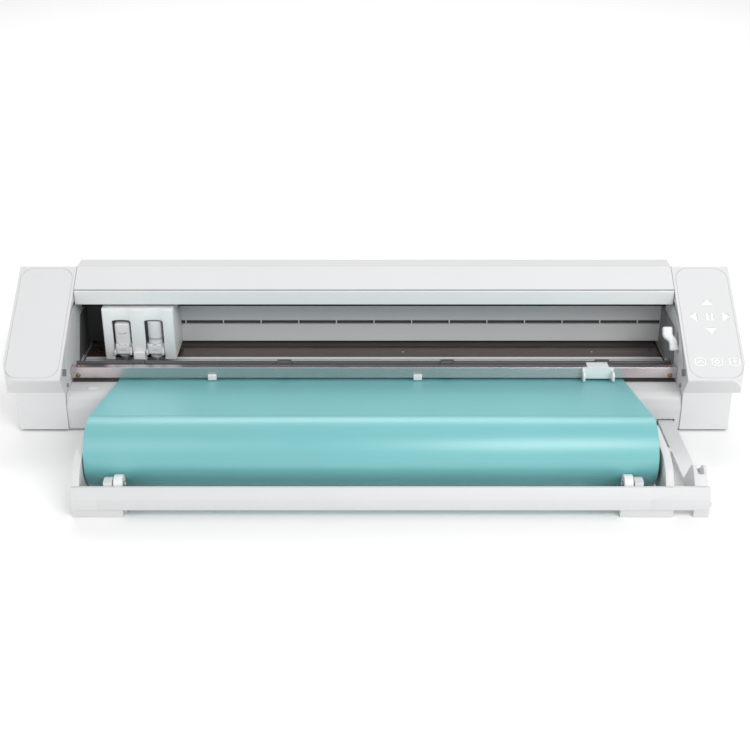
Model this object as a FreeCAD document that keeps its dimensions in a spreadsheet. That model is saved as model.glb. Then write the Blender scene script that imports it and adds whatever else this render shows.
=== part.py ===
import FreeCAD, Part
import math
import os

import Sketcher
from FreeCAD import Placement, Rotation, Vector

# Desktop vinyl cutter with a roll feeder drawer.
# X runs to the operator's right, Y away from the operator, Z up.
# The origin is on the floor, under the middle of the whole outline.

doc = FreeCAD.newDocument("vinylCutter")
sheet = doc.addObject("Spreadsheet::Sheet", "Dims")


class Size:
    """A length that knows its value and the sheet expression it comes from."""

    def __init__(self, text, value):
        self.text = text
        self.value = value

    def join(self, other, sign, swapped=False):
        left, right = (other, self) if swapped else (self, other)
        leftValue, rightValue = number(left), number(right)
        if sign == "+":
            value = leftValue + rightValue
        elif sign == "-":
            value = leftValue - rightValue
        elif sign == "*":
            value = leftValue * rightValue
        else:
            value = leftValue / rightValue
        return Size("(%s %s %s)" % (words(left), sign, words(right)), value)

    def __add__(self, other):
        return self.join(other, "+")

    def __radd__(self, other):
        return self.join(other, "+", True)

    def __sub__(self, other):
        return self.join(other, "-")

    def __rsub__(self, other):
        return self.join(other, "-", True)

    def __mul__(self, other):
        return self.join(other, "*")

    def __rmul__(self, other):
        return self.join(other, "*", True)

    def __truediv__(self, other):
        return self.join(other, "/")

    def __neg__(self):
        return self.join(-1, "*", True)


def number(size):
    return size.value if isinstance(size, Size) else float(size)


def words(size):
    if isinstance(size, Size):
        return size.text
    return "%.6g" % size if size >= 0 else "(%.6g)" % size


def dimension(alias, value):
    """Adds a row to the sheet and returns it as a Size."""
    row = dimension.row = getattr(dimension, "row", 0) + 1
    sheet.set("A%d" % row, alias)
    sheet.set("B%d" % row, "%g" % value)
    sheet.setAlias("B%d" % row, alias)
    return Size("Dims." + alias, float(value))


# Driving dimensions (mm and degrees).
podOuter = dimension("podOuter", 434.5)
podInner = dimension("podInner", 365)
lowerOuter = dimension("lowerOuter", 424.5)
wall = dimension("wallThick", 2.5)
footHeight = dimension("footHeight", 2.5)
toeFront = dimension("toeFront", -12)
neckFront = dimension("neckFront", -10)
neckHeight = dimension("neckHeight", 50.5)
browFront = dimension("browFront", -25.3)
browHeight = dimension("browHeight", 74.2)
ridgeBack = dimension("ridgeBack", 111)
ridgeHeight = dimension("ridgeHeight", 163.7)
roofBack = dimension("roofBack", 135)
backFace = dimension("backFace", 203)
shoulderHeight = dimension("shoulderHeight", 118)
slopeAngle = dimension("slopeAngle", 33.29)
podCorner = dimension("podCorner", 24)
plateThick = dimension("plateThick", 1.5)
plateGap = dimension("plateGap", 0.3)
fitGap = dimension("fitGap", 0.05)
moveGap = dimension("moveGap", 0.4)

deckHeight = dimension("deckHeight", 46.5)
noseFront = dimension("noseFront", -10)
mediaHeight = dimension("mediaHeight", 48.3)
mediaThick = dimension("mediaThick", 0.4)

railFront = dimension("railFront", 26)
railDepth = dimension("railDepth", 9)
railLow = dimension("railLow", 52.2)
railTall = dimension("railTall", 13.9)

beamFront = dimension("beamFront", 131)
beamDepth = dimension("beamDepth", 29)
beamLow = dimension("beamLow", 54)
beamTop = dimension("beamTop", 104)
ribPitch = dimension("ribPitch", 47.9)

lidAxisBack = dimension("lidAxisBack", 101.7)
lidAxisHeight = dimension("lidAxisHeight", 5.1)
lidInside = dimension("lidInside", 134)
lidOutside = dimension("lidOutside", 136.5)
trackRadius = dimension("trackRadius", 124)
trackPin = dimension("trackPin", 3)

rollerBack = dimension("rollerBack", 50)
rollerHeight = dimension("rollerHeight", 41.4)
rollerRadius = dimension("rollerRadius", 6.5)
journalRadius = dimension("journalRadius", 4)
pinchBack = dimension("pinchBack", 60)
pinchHeight = dimension("pinchHeight", 56)
pinchRod = dimension("pinchRod", 3)
pinchRadius = dimension("pinchRadius", 5)
pinchWheelHeight = dimension("pinchWheelHeight", 54)
leverBack = dimension("leverBack", 70)
leverHeight = dimension("leverHeight", 76)
leverReach = dimension("leverReach", 36.5)

carriageLeft = dimension("carriageLeft", -331.8)
carriageWide = dimension("carriageWide", 87)
carriageFront = dimension("carriageFront", 72)
carriageLow = dimension("carriageLow", 55.5)
carriageTop = dimension("carriageTop", 122.3)
leftToolAcross = dimension("leftToolAcross", -308.8)
rightToolAcross = dimension("rightToolAcross", -269.4)
toolBack = dimension("toolBack", 81)
toolRadius = dimension("toolRadius", 9.2)

pulleyAcross = dimension("pulleyAcross", 391)
pulleyBack = dimension("pulleyBack", 125)
pulleyRadius = dimension("pulleyRadius", 6.7)
beltLow = dimension("beltLow", 108)
beltWide = dimension("beltWide", 6)
feedBack = dimension("feedBack", 140)
feedHeight = dimension("feedHeight", 45)
feedLargeRadius = dimension("feedLargeRadius", 16)
feedSmallRadius = dimension("feedSmallRadius", 6)

rollBack = dimension("rollBack", -136.7)
rollHeight = dimension("rollHeight", 44.5)
rollRadius = dimension("rollRadius", 38.6)
coreRadius = dimension("coreRadius", 28.5)
coreBore = dimension("coreBore", 25.4)
rollLeft = dimension("rollLeft", -308)
rollWide = dimension("rollWide", 610)
wheelRadius = dimension("wheelRadius", 10)
frontWheelBack = dimension("frontWheelBack", -183.6)
frontWheelHeight = dimension("frontWheelHeight", 30.5)
rearWheelBack = dimension("rearWheelBack", -96.5)
rearWheelHeight = dimension("rearWheelHeight", 16.7)
drawerFront = dimension("drawerFront", -203)
drawerRear = dimension("drawerRear", -76)
drawerLeft = dimension("drawerLeft", -318)
drawerRight = dimension("drawerRight", 353)
armBack = dimension("armBack", 60)
doc.recompute()

finished = []


def bind(item, path, size):
    """Binds a property to the sheet, or sets it where the size is a bare number."""
    if isinstance(size, Size):
        item.setExpression(path, size.text)
    elif path.startswith("Placement"):
        base = Vector(item.Placement.Base)
        setattr(base, path[-1], size)
        item.Placement = Placement(base, item.Placement.Rotation)
    else:
        setattr(item, path, size)


def place(item, x=0, y=0, z=0, turn=None):
    if turn is not None:
        item.Placement = Placement(Vector(0, 0, 0), turn)
    for axis, size in zip("xyz", (x, y, z)):
        bind(item, "Placement.Base." + axis, size)
    return item


def keep(item, label):
    item.Label = label
    finished.append(item)
    return item


counter = {}


def fresh(stem):
    counter[stem] = counter.get(stem, 0) + 1
    return "%s%d" % (stem, counter[stem])


def box(x, y, z, wide, deep, tall):
    """A block from its low corner and its three sizes."""
    item = doc.addObject("Part::Box", fresh("block"))
    bind(item, "Length", wide)
    bind(item, "Width", deep)
    bind(item, "Height", tall)
    return place(item, x, y, z)


turnToX = Rotation(Vector(0, 1, 0), 90)
turnToY = Rotation(Vector(1, 0, 0), -90)


def rod(radius, length, x, y, z, along="x", sector=None, start=0):
    """A cylinder from the middle of its first end, or a sector of one."""
    item = doc.addObject("Part::Cylinder", fresh("rod"))
    bind(item, "Radius", radius)
    bind(item, "Height", length)
    turn = {"x": turnToX, "y": turnToY, "z": Rotation()}[along]
    if sector is not None:
        item.Angle = sector
        turn = turn * Rotation(Vector(0, 0, 1), start)
    return place(item, x, y, z, turn)


def cone(low, high, tall, x, y, z):
    item = doc.addObject("Part::Cone", fresh("cone"))
    bind(item, "Radius1", low)
    bind(item, "Radius2", high)
    bind(item, "Height", tall)
    return place(item, x, y, z)


def join(*items):
    if len(items) == 1:
        return items[0]
    item = doc.addObject("Part::MultiFuse", fresh("joined"))
    item.Shapes = list(items)
    return item


def cut(base, *tools):
    item = doc.addObject("Part::Cut", fresh("cutOut"))
    item.Base = base
    item.Tool = join(*tools)
    return item


def common(first, second):
    item = doc.addObject("Part::Common", fresh("shared"))
    item.Base = first
    item.Tool = second
    return item


def group(items):
    """Separate solids of one kind, kept together as a compound."""
    item = doc.addObject("Part::Compound", fresh("group"))
    item.Links = list(items)
    return item


def tube(outer, inner, length, x, y, z, along="x"):
    back = 1
    shift = {"x": (x - back, y, z), "y": (x, y - back, z), "z": (x, y, z - back)}[along]
    return cut(rod(outer, length, x, y, z, along), rod(inner, length + 2 * back, *shift, along))


def prism(plane, corners, depth, start, rounds=None):
    """A PartDesign body: a closed outline on an origin plane, padded along the plane's normal.

    corners are (Y, Z) on the YZ plane and (X, Z) on the XZ plane, whose pad runs towards -Y.
    rounds maps a radius to the numbers of the corners that it rounds.
    """
    body = doc.addObject("PartDesign::Body", fresh("body"))
    outline = body.newObject("Sketcher::SketchObject", fresh("outline"))
    support = [f for f in body.Origin.OriginFeatures if f.Role == plane + "_Plane"][0]
    outline.AttachmentSupport = [(support, "")]
    outline.MapMode = "FlatFace"
    points = [Vector(number(a), number(b), 0) for a, b in corners]
    count = len(points)
    for i in range(count):
        outline.addGeometry(Part.LineSegment(points[i], points[(i + 1) % count]))
    for i in range(count):
        outline.addConstraint(Sketcher.Constraint("Coincident", i, 2, (i + 1) % count, 1))
    for i, corner in enumerate(corners):
        for axis, size in zip("XY", corner):
            link = outline.addConstraint(Sketcher.Constraint("Distance" + axis, i, 1, number(size)))
            if isinstance(size, Size):
                outline.setExpression("Constraints[%d]" % link, size.text)
    pad = body.newObject("PartDesign::Pad", fresh("pad"))
    pad.Profile = outline
    bind(pad, "Length", depth)
    doc.recompute()
    feature = pad
    for radius, which in (rounds or {}).items():
        feature = roundCorners(body, feature, plane, [points[i] for i in which], radius)
    if plane == "YZ":
        return place(body, start, 0, 0)
    return place(body, 0, start, 0)


def roundCorners(body, feature, plane, points, radius):
    """Rounds the edges that run along the pad's direction at the given outline points."""
    names = []
    for i, edge in enumerate(feature.Shape.Edges):
        for point in points:
            if all(math.dist(flat(v.Point, plane), (point.x, point.y)) < 1e-4 for v in edge.Vertexes):
                names.append("Edge%d" % (i + 1))
    fillet = body.newObject("PartDesign::Fillet", fresh("fillet"))
    fillet.Base = (feature, names)
    bind(fillet, "Radius", radius)
    doc.recompute()
    return fillet


def flat(point, plane):
    return (point.y, point.z) if plane == "YZ" else (point.x, point.z)


def roundEdges(item, radius, pick):
    """Rounds the edges of a shape that pick(edge) accepts."""
    doc.recompute()
    fillet = doc.addObject("Part::Fillet", fresh("rounded"))
    fillet.Base = item
    edges = [i + 1 for i, edge in enumerate(item.Shape.Edges) if pick(edge)]
    fillet.Edges = [(i, number(radius), number(radius)) for i in edges]
    doc.recompute()
    return fillet


def upright(edge):
    ends = [v.Point for v in edge.Vertexes]
    return len(ends) == 2 and math.dist((ends[0].x, ends[0].y), (ends[1].x, ends[1].y)) < 1e-6


def alongX(edge):
    ends = [v.Point for v in edge.Vertexes]
    return len(ends) == 2 and math.dist((ends[0].y, ends[0].z), (ends[1].y, ends[1].z)) < 1e-6


def shrink(corners, amount):
    """The outline moved inwards by amount, each corner still bound to its own sizes."""
    values = [(number(a), number(b)) for a, b in corners]
    count = len(values)
    area = sum(values[i - 1][0] * values[i][1] - values[i][0] * values[i - 1][1] for i in range(count))
    side = 1 if area > 0 else -1
    moved = []
    for i in range(count):
        normals = []
        for start, end in ((values[i - 1], values[i]), (values[i], values[(i + 1) % count])):
            run = math.dist(start, end)
            normals.append((-side * (end[1] - start[1]) / run, side * (end[0] - start[0]) / run))
        (ax, ay), (bx, by) = normals
        reach = amount / (1 + ax * bx + ay * by)
        moved.append((corners[i][0] + reach * (ax + bx), corners[i][1] + reach * (ay + by)))
    return moved


def arcBand(radius, half, fromDeg, toDeg, start, length, y, z, roundEnds=False):
    """A curved band about an axis along X. Angles are from straight up, towards the operator."""
    sector = toDeg - fromDeg
    first = 180 + fromDeg
    outer = rod(radius + half, length, start, y, z, "x", sector, first)
    inner = rod(radius - half, length + 2, start - 1, y, z, "x")
    band = cut(outer, inner)
    if not roundEnds:
        return band
    ends = []
    for angle in (fromDeg, toDeg):
        lean = math.radians(angle)
        ends.append(rod(half, length, start, y - radius * math.sin(lean), z + radius * math.cos(lean)))
    return join(band, *ends)


def mirrored(item):
    copy = doc.addObject("Part::Mirroring", fresh("mirrored"))
    copy.Source = item
    copy.Normal = Vector(1, 0, 0)
    return copy


# End pods.
podProfile = [
    (neckFront, neckHeight),
    (browFront, browHeight),
    (ridgeBack, ridgeHeight),
    (backFace, shoulderHeight),
    (backFace, neckHeight),
]
skirtProfile = [
    (toeFront, footHeight),
    (neckFront, neckHeight + 1),
    (backFace, neckHeight + 1),
    (backFace, footHeight),
]


def podBlock(profile, skirt, inner, outer, skirtOuter, front, back, corner, tops):
    """The pod's outer form, or its hollow: a sloped block on a narrower skirt, round in plan."""
    upper = prism("YZ", profile, outer - inner, inner, tops)
    lower = prism("YZ", skirt, skirtOuter - inner, inner)
    roundPlans = []
    for edge in (outer, skirtOuter):
        plan = box(inner, front, -5, edge - inner, back - front, 200)
        limit = number(inner) + 1
        roundPlans.append(roundEdges(plan, corner, lambda e: upright(e) and e.Vertexes[0].X > limit))
    return join(common(upper, roundPlans[0]), common(lower, roundPlans[1]))


def slopeBox(x, along, proud, wide, deep, tall, radius):
    """A rounded plate that lies on the pods' slope, along from its front edge and proud of it."""
    plate = doc.addObject("Part::Box", fresh("plate"))
    bind(plate, "Length", wide)
    bind(plate, "Width", deep)
    bind(plate, "Height", tall)
    rounded = roundEdges(plate, radius, upright) if radius else plate
    lean = math.radians(number(slopeAngle))
    y = browFront + along * math.cos(lean) - proud * math.sin(lean)
    z = browHeight + along * math.sin(lean) + proud * math.cos(lean)
    turn = Rotation(Vector(1, 0, 0), number(slopeAngle))
    return place(rounded, x, y, z, turn)


slopeLength = 163.0
plateMargin = 3.5
plateRadius = 16


def podHollow():
    inside = shrink(podProfile, wall.value)
    skirtInside = [
        (toeFront + wall, -2),
        (neckFront + wall, neckHeight + 6),
        (backFace - wall, neckHeight + 6),
        (backFace - wall, -2),
    ]
    return podBlock(
        inside, skirtInside, podInner + wall, podOuter - wall, lowerOuter - wall,
        browFront + wall, backFace - wall, podCorner - wall, {},
    )


def podHousing(extraCuts):
    shell = podBlock(
        podProfile, skirtProfile, podInner, podOuter, lowerOuter, browFront, backFace, podCorner,
        {3: [1, 2], 8: [3]},
    )
    margin = plateMargin - plateGap
    recess = slopeBox(
        podInner + margin, margin, -plateThick, podOuter - podInner - 2 * margin,
        slopeLength - 2 * margin, 20, plateRadius,
    )
    track = arcBand(
        trackRadius, trackPin + moveGap, -40, 57, podInner - 1, wall + 2, lidAxisBack, lidAxisHeight, True,
    )
    bushHole = rod(8, wall + 2, podInner - 1, rollerBack, rollerHeight)
    pinchHole = rod(pinchRod + fitGap, wall + 2, podInner - 1, pinchBack, pinchHeight)
    beltHole = box(podInner - 1, pulleyBack - 11, beltLow - 3, wall + 2, 22, beltWide + 6)
    plateNotch = box(podInner - 1, -7.4, 0, wall + 2, 207.8, footHeight + 2.1)
    return cut(shell, podHollow(), recess, track, bushHole, pinchHole, beltHole, plateNotch, *extraCuts)


neckRadius = 3.4
jackAcross, jackHeight = 394, 26
dataLeft, dataLow = 371.5, 20
slotHalf = neckRadius + 0.6
leverSlot = arcBand(leverReach, slotHalf, 47, 75, podInner - 1, wall + 2, leverBack, leverHeight, True)
jackHole = rod(5.2, wall + 4, jackAcross, backFace - wall - 2, jackHeight, "y")
dataHole = box(dataLeft, backFace - wall - 2, dataLow, 12.6, wall + 4, 11.6)
leverPin = rod(3, 6.5, podInner + wall - 0.5, leverBack, leverHeight)
keep(mirrored(podHousing([])), "left_pod_housing")
keep(join(podHousing([leverSlot, jackHole, dataHole]), leverPin), "right_pod_housing")


# Plates on the slopes and the touch icons.
plateWide = podOuter - podInner - 2 * plateMargin
plateLong = slopeLength - 2 * plateMargin


def slopePlate():
    return slopeBox(
        podInner + plateMargin, plateMargin, -plateThick, plateWide, plateLong, plateThick, plateRadius,
    )


keep(mirrored(slopePlate()), "left_top_panel")
iconDepth = 0.6
iconSize = 12
arrowSize = 9
arrowPlaces = [(401.6, 108.9), (382.6, 88.5), (401.8, 88.5), (420.6, 88.5), (401.2, 68.6)]
buttonPlaces = [(382.3, 25.6), (402, 25.6), (422.3, 25.6)]


def icons(grow):
    pads = []
    for places, size in ((arrowPlaces, arrowSize), (buttonPlaces, iconSize)):
        for x, along in places:
            half = size / 2 + grow
            tall = iconDepth + 4 * grow
            pads.append(slopeBox(x - half, along - half, -iconDepth, 2 * half, 2 * half, tall, 2))
    return pads


keep(cut(slopePlate(), *icons(0.05)), "right_touch_panel")
keep(group(icons(0)), "touch_icons")
touchBoard = slopeBox(377, 15, -6, 50, 105, 1.6, 0)


# Centre base.
deckHalf = podInner - 0.4
troughFront = rollerBack - 9
troughBack = rollerBack + 26
deckOutline = [
    (noseFront, footHeight),
    (noseFront, 29),
    (noseFront + 3.2, 42),
    (noseFront + 10.5, deckHeight),
    (troughFront, deckHeight),
    (troughFront, 30),
    (troughBack, 30),
    (troughBack, 44.4),
    (beamFront, 44.4),
    (beamFront, 41.9),
    (troughBack + wall, 41.9),
    (troughBack + wall, 27.5),
    (troughFront - wall, 27.5),
    (troughFront - wall, deckHeight - wall),
    (noseFront + 11.5, deckHeight - wall),
    (noseFront + 5.4, 40.4),
    (noseFront + wall, 28.5),
    (noseFront + wall, footHeight),
]
deck = prism("YZ", deckOutline, 2 * deckHalf, -deckHalf, {20: [1], 8: [2], 12: [3]})
rightArmSlot = box(337.5, noseFront - 1, 7.5, 21, 6, 8)
leftArmSlot = box(-319.5, noseFront - 1, 7, 11.5, 6, 12.5)
capDome = doc.addObject("Part::Ellipsoid", "capDome")
capDome.Radius1 = 1.8
capDome.Radius2 = 7
capDome.Radius3 = 4.5
place(capDome, -337, 11, deckHeight)
exitOutline = [
    (128.4, 44.4), (128.4, 48.5), (backFace - 3, 48.5),
    (backFace - 3, 46.4), (beamFront, 46.4), (beamFront, 44.4),
]
exitPlate = prism("YZ", exitOutline, 2 * deckHalf - 8, 4 - deckHalf)
keep(join(cut(deck, rightArmSlot, leftArmSlot), capDome, exitPlate), "base_deck")
floorPlate = box(-421, -7, footHeight, 842, 207, 2)
keep(roundEdges(floorPlate, 22, lambda e: upright(e) and e.Vertexes[0].Y > 100), "bottom_plate")
feet = [rod(9, footHeight, x, y, 0, "z") for x in (-395, -150, 150, 395) for y in (16, 178)]
keep(group(feet), "rubber_feet")
bottomScrews = [rod(2.5, 1, x, y, footHeight - 1, "z") for x in (-412, -280, 280, 412) for y in (40, 150)]


# Crossbar rail.
railHalf = podInner - 0.4
markStarts = (-120, -37, 1.6, 41.5, 179.4, 254)
markLength = 30.5
railBar = roundEdges(box(-railHalf, railFront, railLow, 2 * railHalf, railDepth, railTall), 0.8, alongX)
marks = [box(x, railFront - 1, 63.2, markLength, 1.6, 0.9) for x in markStarts]
screwSpots = [(-356, 30.5, None), (356, 30.5, None), (-356.5, None, 55.6), (356.5, None, 55.6)]
keep(cut(railBar, *marks), "crossbar_rail")


def screw(x, y, z):
    """A domed screw head, on top of the rail or on its front."""
    head = 2.8
    if z is None:
        seat = railLow + railTall
        return join(rod(head, 1, x, y, seat, "z"), cone(head, 1.6, 0.9, x, y, seat + 1))
    dome = cone(head, 1.6, 0.9, 0, 0, 0)
    place(dome, x, railFront - 1, z, Rotation(Vector(1, 0, 0), 90))
    return join(rod(head, 1, x, railFront - 1, z, "y"), dome)


railScrews = [screw(*spot) for spot in screwSpots]
clipLow = 50.4
clips = []
for left in (-199.9, 47.4):
    clip = box(left, railFront - 3.8, clipLow, 10.4, 3.7, 7.4)
    clips.append(roundEdges(clip, 0.8, lambda e: True))
keep(group(clips), "small_media_clips")
guideLeft, guideWide = 250.2, 37.4
guidePlate = box(guideLeft, railFront - 2.3, 52.6, guideWide, 2, 11.6)
flanges = [box(x, railFront - 13, 52.8, 2.4, 12.7, 10.8) for x in (guideLeft, guideLeft + guideWide - 2.4)]
guideHook = box(guideLeft + 6, railFront - 2.3, railLow + railTall + 0.3, guideWide - 12, 11.8, 1.6)
guideRiser = box(guideLeft + 6, railFront - 2.3, 64, guideWide - 12, 2, 4)
guideHeel = box(guideLeft + 6, railFront + railDepth + 0.3, 61, guideWide - 12, 1.6, 7)
keep(join(guidePlate, *flanges, guideHook, guideRiser, guideHeel), "media_guide")


# Bed: cutting strip, platen, exit plate.
bedHalf = podInner - 4
stripFront, stripDeep, stripTall = 77.5, 16.5, 3.9
tabDeep = 14
strip = box(-bedHalf, stripFront, 44.4, 2 * bedHalf, stripDeep, stripTall)
tabs = []
for left, wide in ((-bedHalf, 16), (bedHalf - 24, 24)):
    tabs.append(box(left, stripFront - tabDeep, 44.4, wide, tabDeep, stripTall))
inlayGroove = box(-bedHalf - 1, stripFront + 1.3, 46.4, 2 * bedHalf + 2, 7.9, 5)
keep(cut(join(strip, *tabs), inlayGroove), "cutting_strip")
keep(box(-bedHalf, stripFront + 1.4, 46.4, 2 * bedHalf, 7.7, 1.7), "cutting_inlay")
platenFront = stripFront + stripDeep + 0.4
platenBlock = box(-bedHalf, platenFront, 44.4, 2 * bedHalf, 128 - platenFront, 4.2)
platenHoles = [rod(2.6, 2, x, 114, 47.6, "z") for x in (-350, 350)]
platenRound = roundEdges(platenBlock, 1, lambda e: alongX(e) and e.Vertexes[0].Z > 48)
keep(cut(platenRound, *platenHoles), "platen")
platenScrews = [rod(2.5, 0.9, x, 114, 47.6, "z") for x in (-350, 350)]
keep(group(railScrews + platenScrews + bottomScrews), "screws")


# Beam, guide rail.
beamHalf = podInner - 0.5
beamBlock = box(-beamHalf, beamFront, beamLow, 2 * beamHalf, beamDepth, beamTop - beamLow)
beamWall = 6
beamCore = box(
    -beamHalf - 1, beamFront + beamWall, beamLow + beamWall, 2 * beamHalf + 2,
    beamDepth - 2 * beamWall, beamTop - beamLow - 2 * beamWall,
)
ribWide = 1.6
slotLow, slotTall, slotDeep = 77.5, 5, 3
pockets = []
for k in range(-8, 8):
    left = max(ribPitch.value * k + ribWide / 2, -beamHalf.value + 1)
    right = min(ribPitch.value * (k + 1) - ribWide / 2, beamHalf.value - 1)
    pockets.append(box(left, beamFront - 1, slotLow, right - left, slotDeep + 1, slotTall))
keep(cut(beamBlock, beamCore, *pockets), "gantry_beam")
railMid, railBase = beamFront + 13, beamTop
guideOutline = [
    (railMid - 6, railBase), (railMid + 6, railBase), (railMid + 6, railBase + 2),
    (railMid + 4.5, railBase + 3.5), (railMid + 4.5, railBase + 4.5), (railMid + 6, railBase + 6),
    (railMid + 6, railBase + 8), (railMid - 6, railBase + 8), (railMid - 6, railBase + 6),
    (railMid - 4.5, railBase + 4.5), (railMid - 4.5, railBase + 3.5), (railMid - 6, railBase + 2),
]
keep(prism("YZ", guideOutline, 710, -355), "guide_rail")


# Covers over the middle.
coverHalf = podInner - 0.6
coverFront = 82.2
lean = math.radians(slopeAngle.value)
coverThick = 2
coverEdgeZ = ridgeHeight - (ridgeBack - coverFront) * math.tan(lean)
coverOutline = [
    (coverFront, coverEdgeZ),
    (ridgeBack - 0.2, ridgeHeight - 0.1),
    (ridgeBack - 0.2, ridgeHeight - coverThick / math.cos(lean)),
    (coverFront + 0.6, coverEdgeZ - coverThick / math.cos(lean) + 0.4),
]
keep(prism("YZ", coverOutline, 2 * coverHalf, -coverHalf), "top_cover")
roofOutline = [
    (ridgeBack, ridgeHeight),
    (roofBack, ridgeHeight),
    (backFace, shoulderHeight),
    (backFace, footHeight + 2),
    (backFace - wall, footHeight + 2),
    (backFace - wall, shoulderHeight - 1.3),
    (roofBack - 1, ridgeHeight - wall),
    (ridgeBack, ridgeHeight - wall),
]
roof = prism("YZ", roofOutline, 2 * coverHalf, -coverHalf, {10: [1], 8: [2], 6: [5]})
exitSlot = box(-345, backFace - 5, 47, 690, 8, 10)
vents = []
for middle in (-230, 230):
    for k in range(-9, 10):
        vents.append(box(middle + 9 * k - 1.5, backFace - 5, 74, 3, 8, 26))
keep(cut(roof, exitSlot, *vents), "rear_cover")


# Lid.
lidHalf = podInner - 1
lidFrontAngle, lidRearAngle = 8.4, -42.9
flangeWide = 3
lidMiddle = (lidInside + lidOutside) / 2
lidSkin = arcBand(
    lidMiddle, (lidOutside - lidInside) / 2, lidRearAngle, lidFrontAngle, -lidHalf, 2 * lidHalf,
    lidAxisBack, lidAxisHeight,
)
flangeMiddle, flangeHalf = (lidInside + 0.4 + 120.3) / 2, (lidInside + 0.4 - 120.3) / 2
lidFlanges = []
for left in (-lidHalf, lidHalf - flangeWide):
    flange = arcBand(
        flangeMiddle, flangeHalf, lidRearAngle, lidFrontAngle, left, flangeWide, lidAxisBack, lidAxisHeight,
    )
    lidFlanges.append(flange)
lipOutline = [
    (78.3, 126.4), (80.1, 126.4), (80.9, 138.4), (81.2, 138.4),
    (81.2, 142), (80.4, 143.4), (79.2, 143.2), (78.6, 142.4),
]
keep(prism("YZ", lipOutline, 2 * lidHalf, -lidHalf), "lid_lip")
pins = []
for angle in (6, -38):
    lean = math.radians(angle)
    y = lidAxisBack - trackRadius * math.sin(lean)
    z = lidAxisHeight + trackRadius * math.cos(lean)
    pins += [rod(trackPin, 3, x, y, z) for x in (-podInner - 2, podInner - 1)]
keep(join(lidSkin, *lidFlanges, *pins), "lid_panel")


# Drive roller and its belt drive, in the right pod.
rollerHalf = podInner - 5
grit = [rod(rollerRadius, 40, x, rollerBack, rollerHeight) for x in (-310, -130, 70, 260)]
shaft = rod(rollerRadius - 0.4, 2 * rollerHalf, -rollerHalf, rollerBack, rollerHeight)
journal = rod(journalRadius, 752, -368, rollerBack, rollerHeight)
bushBore = journalRadius + fitGap
bushes = [tube(8, bushBore, 9, x, rollerBack, rollerHeight) for x in (-podInner - 5, podInner - 4)]
keep(group(bushes), "roller_bushes")
driveLeft, driveWide = 377.5, 6
rollerPulley = rod(feedLargeRadius, driveWide, driveLeft, rollerBack, rollerHeight)
keep(join(shaft, journal, rollerPulley, *grit), "drive_roller")
feedMotor = roundEdges(box(387, feedBack - 20, feedHeight - 20, 34, 40, 40), 4, alongX)
feedShaft = rod(2.5, 13, 374, feedBack, feedHeight)
keep(join(feedShaft, rod(feedSmallRadius, driveWide, driveLeft, feedBack, feedHeight)), "feed_motor_pulley")


def beltAround(large, small, thick, start, wide):
    """A closed belt round two pulleys on axes along X."""
    first = Vector(start, rollerBack.value, rollerHeight.value)
    second = Vector(start, feedBack.value, feedHeight.value)
    run = second - first
    tilt = math.atan2(run.z, run.y)
    faces = []
    for extra in (thick, 0):
        big, little = large + extra, small + extra
        swing = math.acos((big - little) / run.Length)

        def spot(centre, radius, angle):
            return centre + Vector(0, radius * math.cos(angle), radius * math.sin(angle))

        upperBig, upperLittle = spot(first, big, tilt + swing), spot(second, little, tilt + swing)
        lowerBig, lowerLittle = spot(first, big, tilt - swing), spot(second, little, tilt - swing)
        wire = Part.Wire([
            Part.Arc(lowerBig, spot(first, big, tilt + math.pi), upperBig).toShape(),
            Part.LineSegment(upperBig, upperLittle).toShape(),
            Part.Arc(upperLittle, spot(second, little, tilt), lowerLittle).toShape(),
            Part.LineSegment(lowerLittle, lowerBig).toShape(),
        ])
        faces.append(Part.Face(wire).extrude(Vector(wide, 0, 0)))
    return faces[0].cut(faces[1])


feedBelt = doc.addObject("Part::Feature", "feedBelt")
feedBelt.Shape = beltAround(feedLargeRadius.value + 0.3, feedSmallRadius.value + 0.3, 1.2, driveLeft + 0.5, 5)
keep(feedBelt, "feed_belt")


# Pinch rollers and their lever.
pinchPlaces = (-290, -110, 90, 280)
wheelHalf = 6
armOutline = [
    (pinchBack - 2, pinchHeight - 4), (pinchBack + 3, pinchHeight - 3.4), (pinchBack + 3, pinchHeight + 3.4),
    (pinchBack - 3, pinchHeight + 4), (rollerBack - 2.6, pinchWheelHeight + 2.6),
    (rollerBack - 3, pinchWheelHeight - 1), (rollerBack, pinchWheelHeight - 3),
]
arms, pinchWheels = [], []
for middle in pinchPlaces:
    cheeks = [prism("YZ", armOutline, 2, middle + side) for side in (-wheelHalf - 2.4, wheelHalf + 0.4)]
    hub = rod(4.6, 2 * wheelHalf + 4.8, middle - wheelHalf - 2.4, pinchBack, pinchHeight)
    bore = rod(pinchRod, 30, middle - 15, pinchBack, pinchHeight)
    axle = rod(1.5, 2 * wheelHalf + 6, middle - wheelHalf - 3, rollerBack, pinchWheelHeight)
    arms.append(cut(join(hub, axle, *cheeks), bore))
    wheelLeft = middle - wheelHalf
    wheel = tube(pinchRadius, 1.5 + fitGap, 2 * wheelHalf, wheelLeft, rollerBack, pinchWheelHeight)
    pinchWheels.append(wheel)
keep(rod(pinchRod, 742, -368, pinchBack, pinchHeight), "pinch_shaft")
keep(group(arms), "pinch_arms")
keep(group(pinchWheels), "pinch_rollers")
stemLean = math.radians(71)
stemBack = leverBack - leverReach * math.sin(stemLean)
stemHeight = leverHeight + leverReach * math.cos(stemLean)
leverPlate = prism("YZ", [
    (leverBack + 4, leverHeight - 7), (leverBack + 4, leverHeight + 7),
    (stemBack - 3.5, stemHeight + 4.5), (stemBack - 3.5, stemHeight - 4.5),
], 3.5, 368.5, {3: [0, 1, 2, 3]})
neck = rod(neckRadius, 8, 362, stemBack, stemHeight)
handleThick = 7.5
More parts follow.
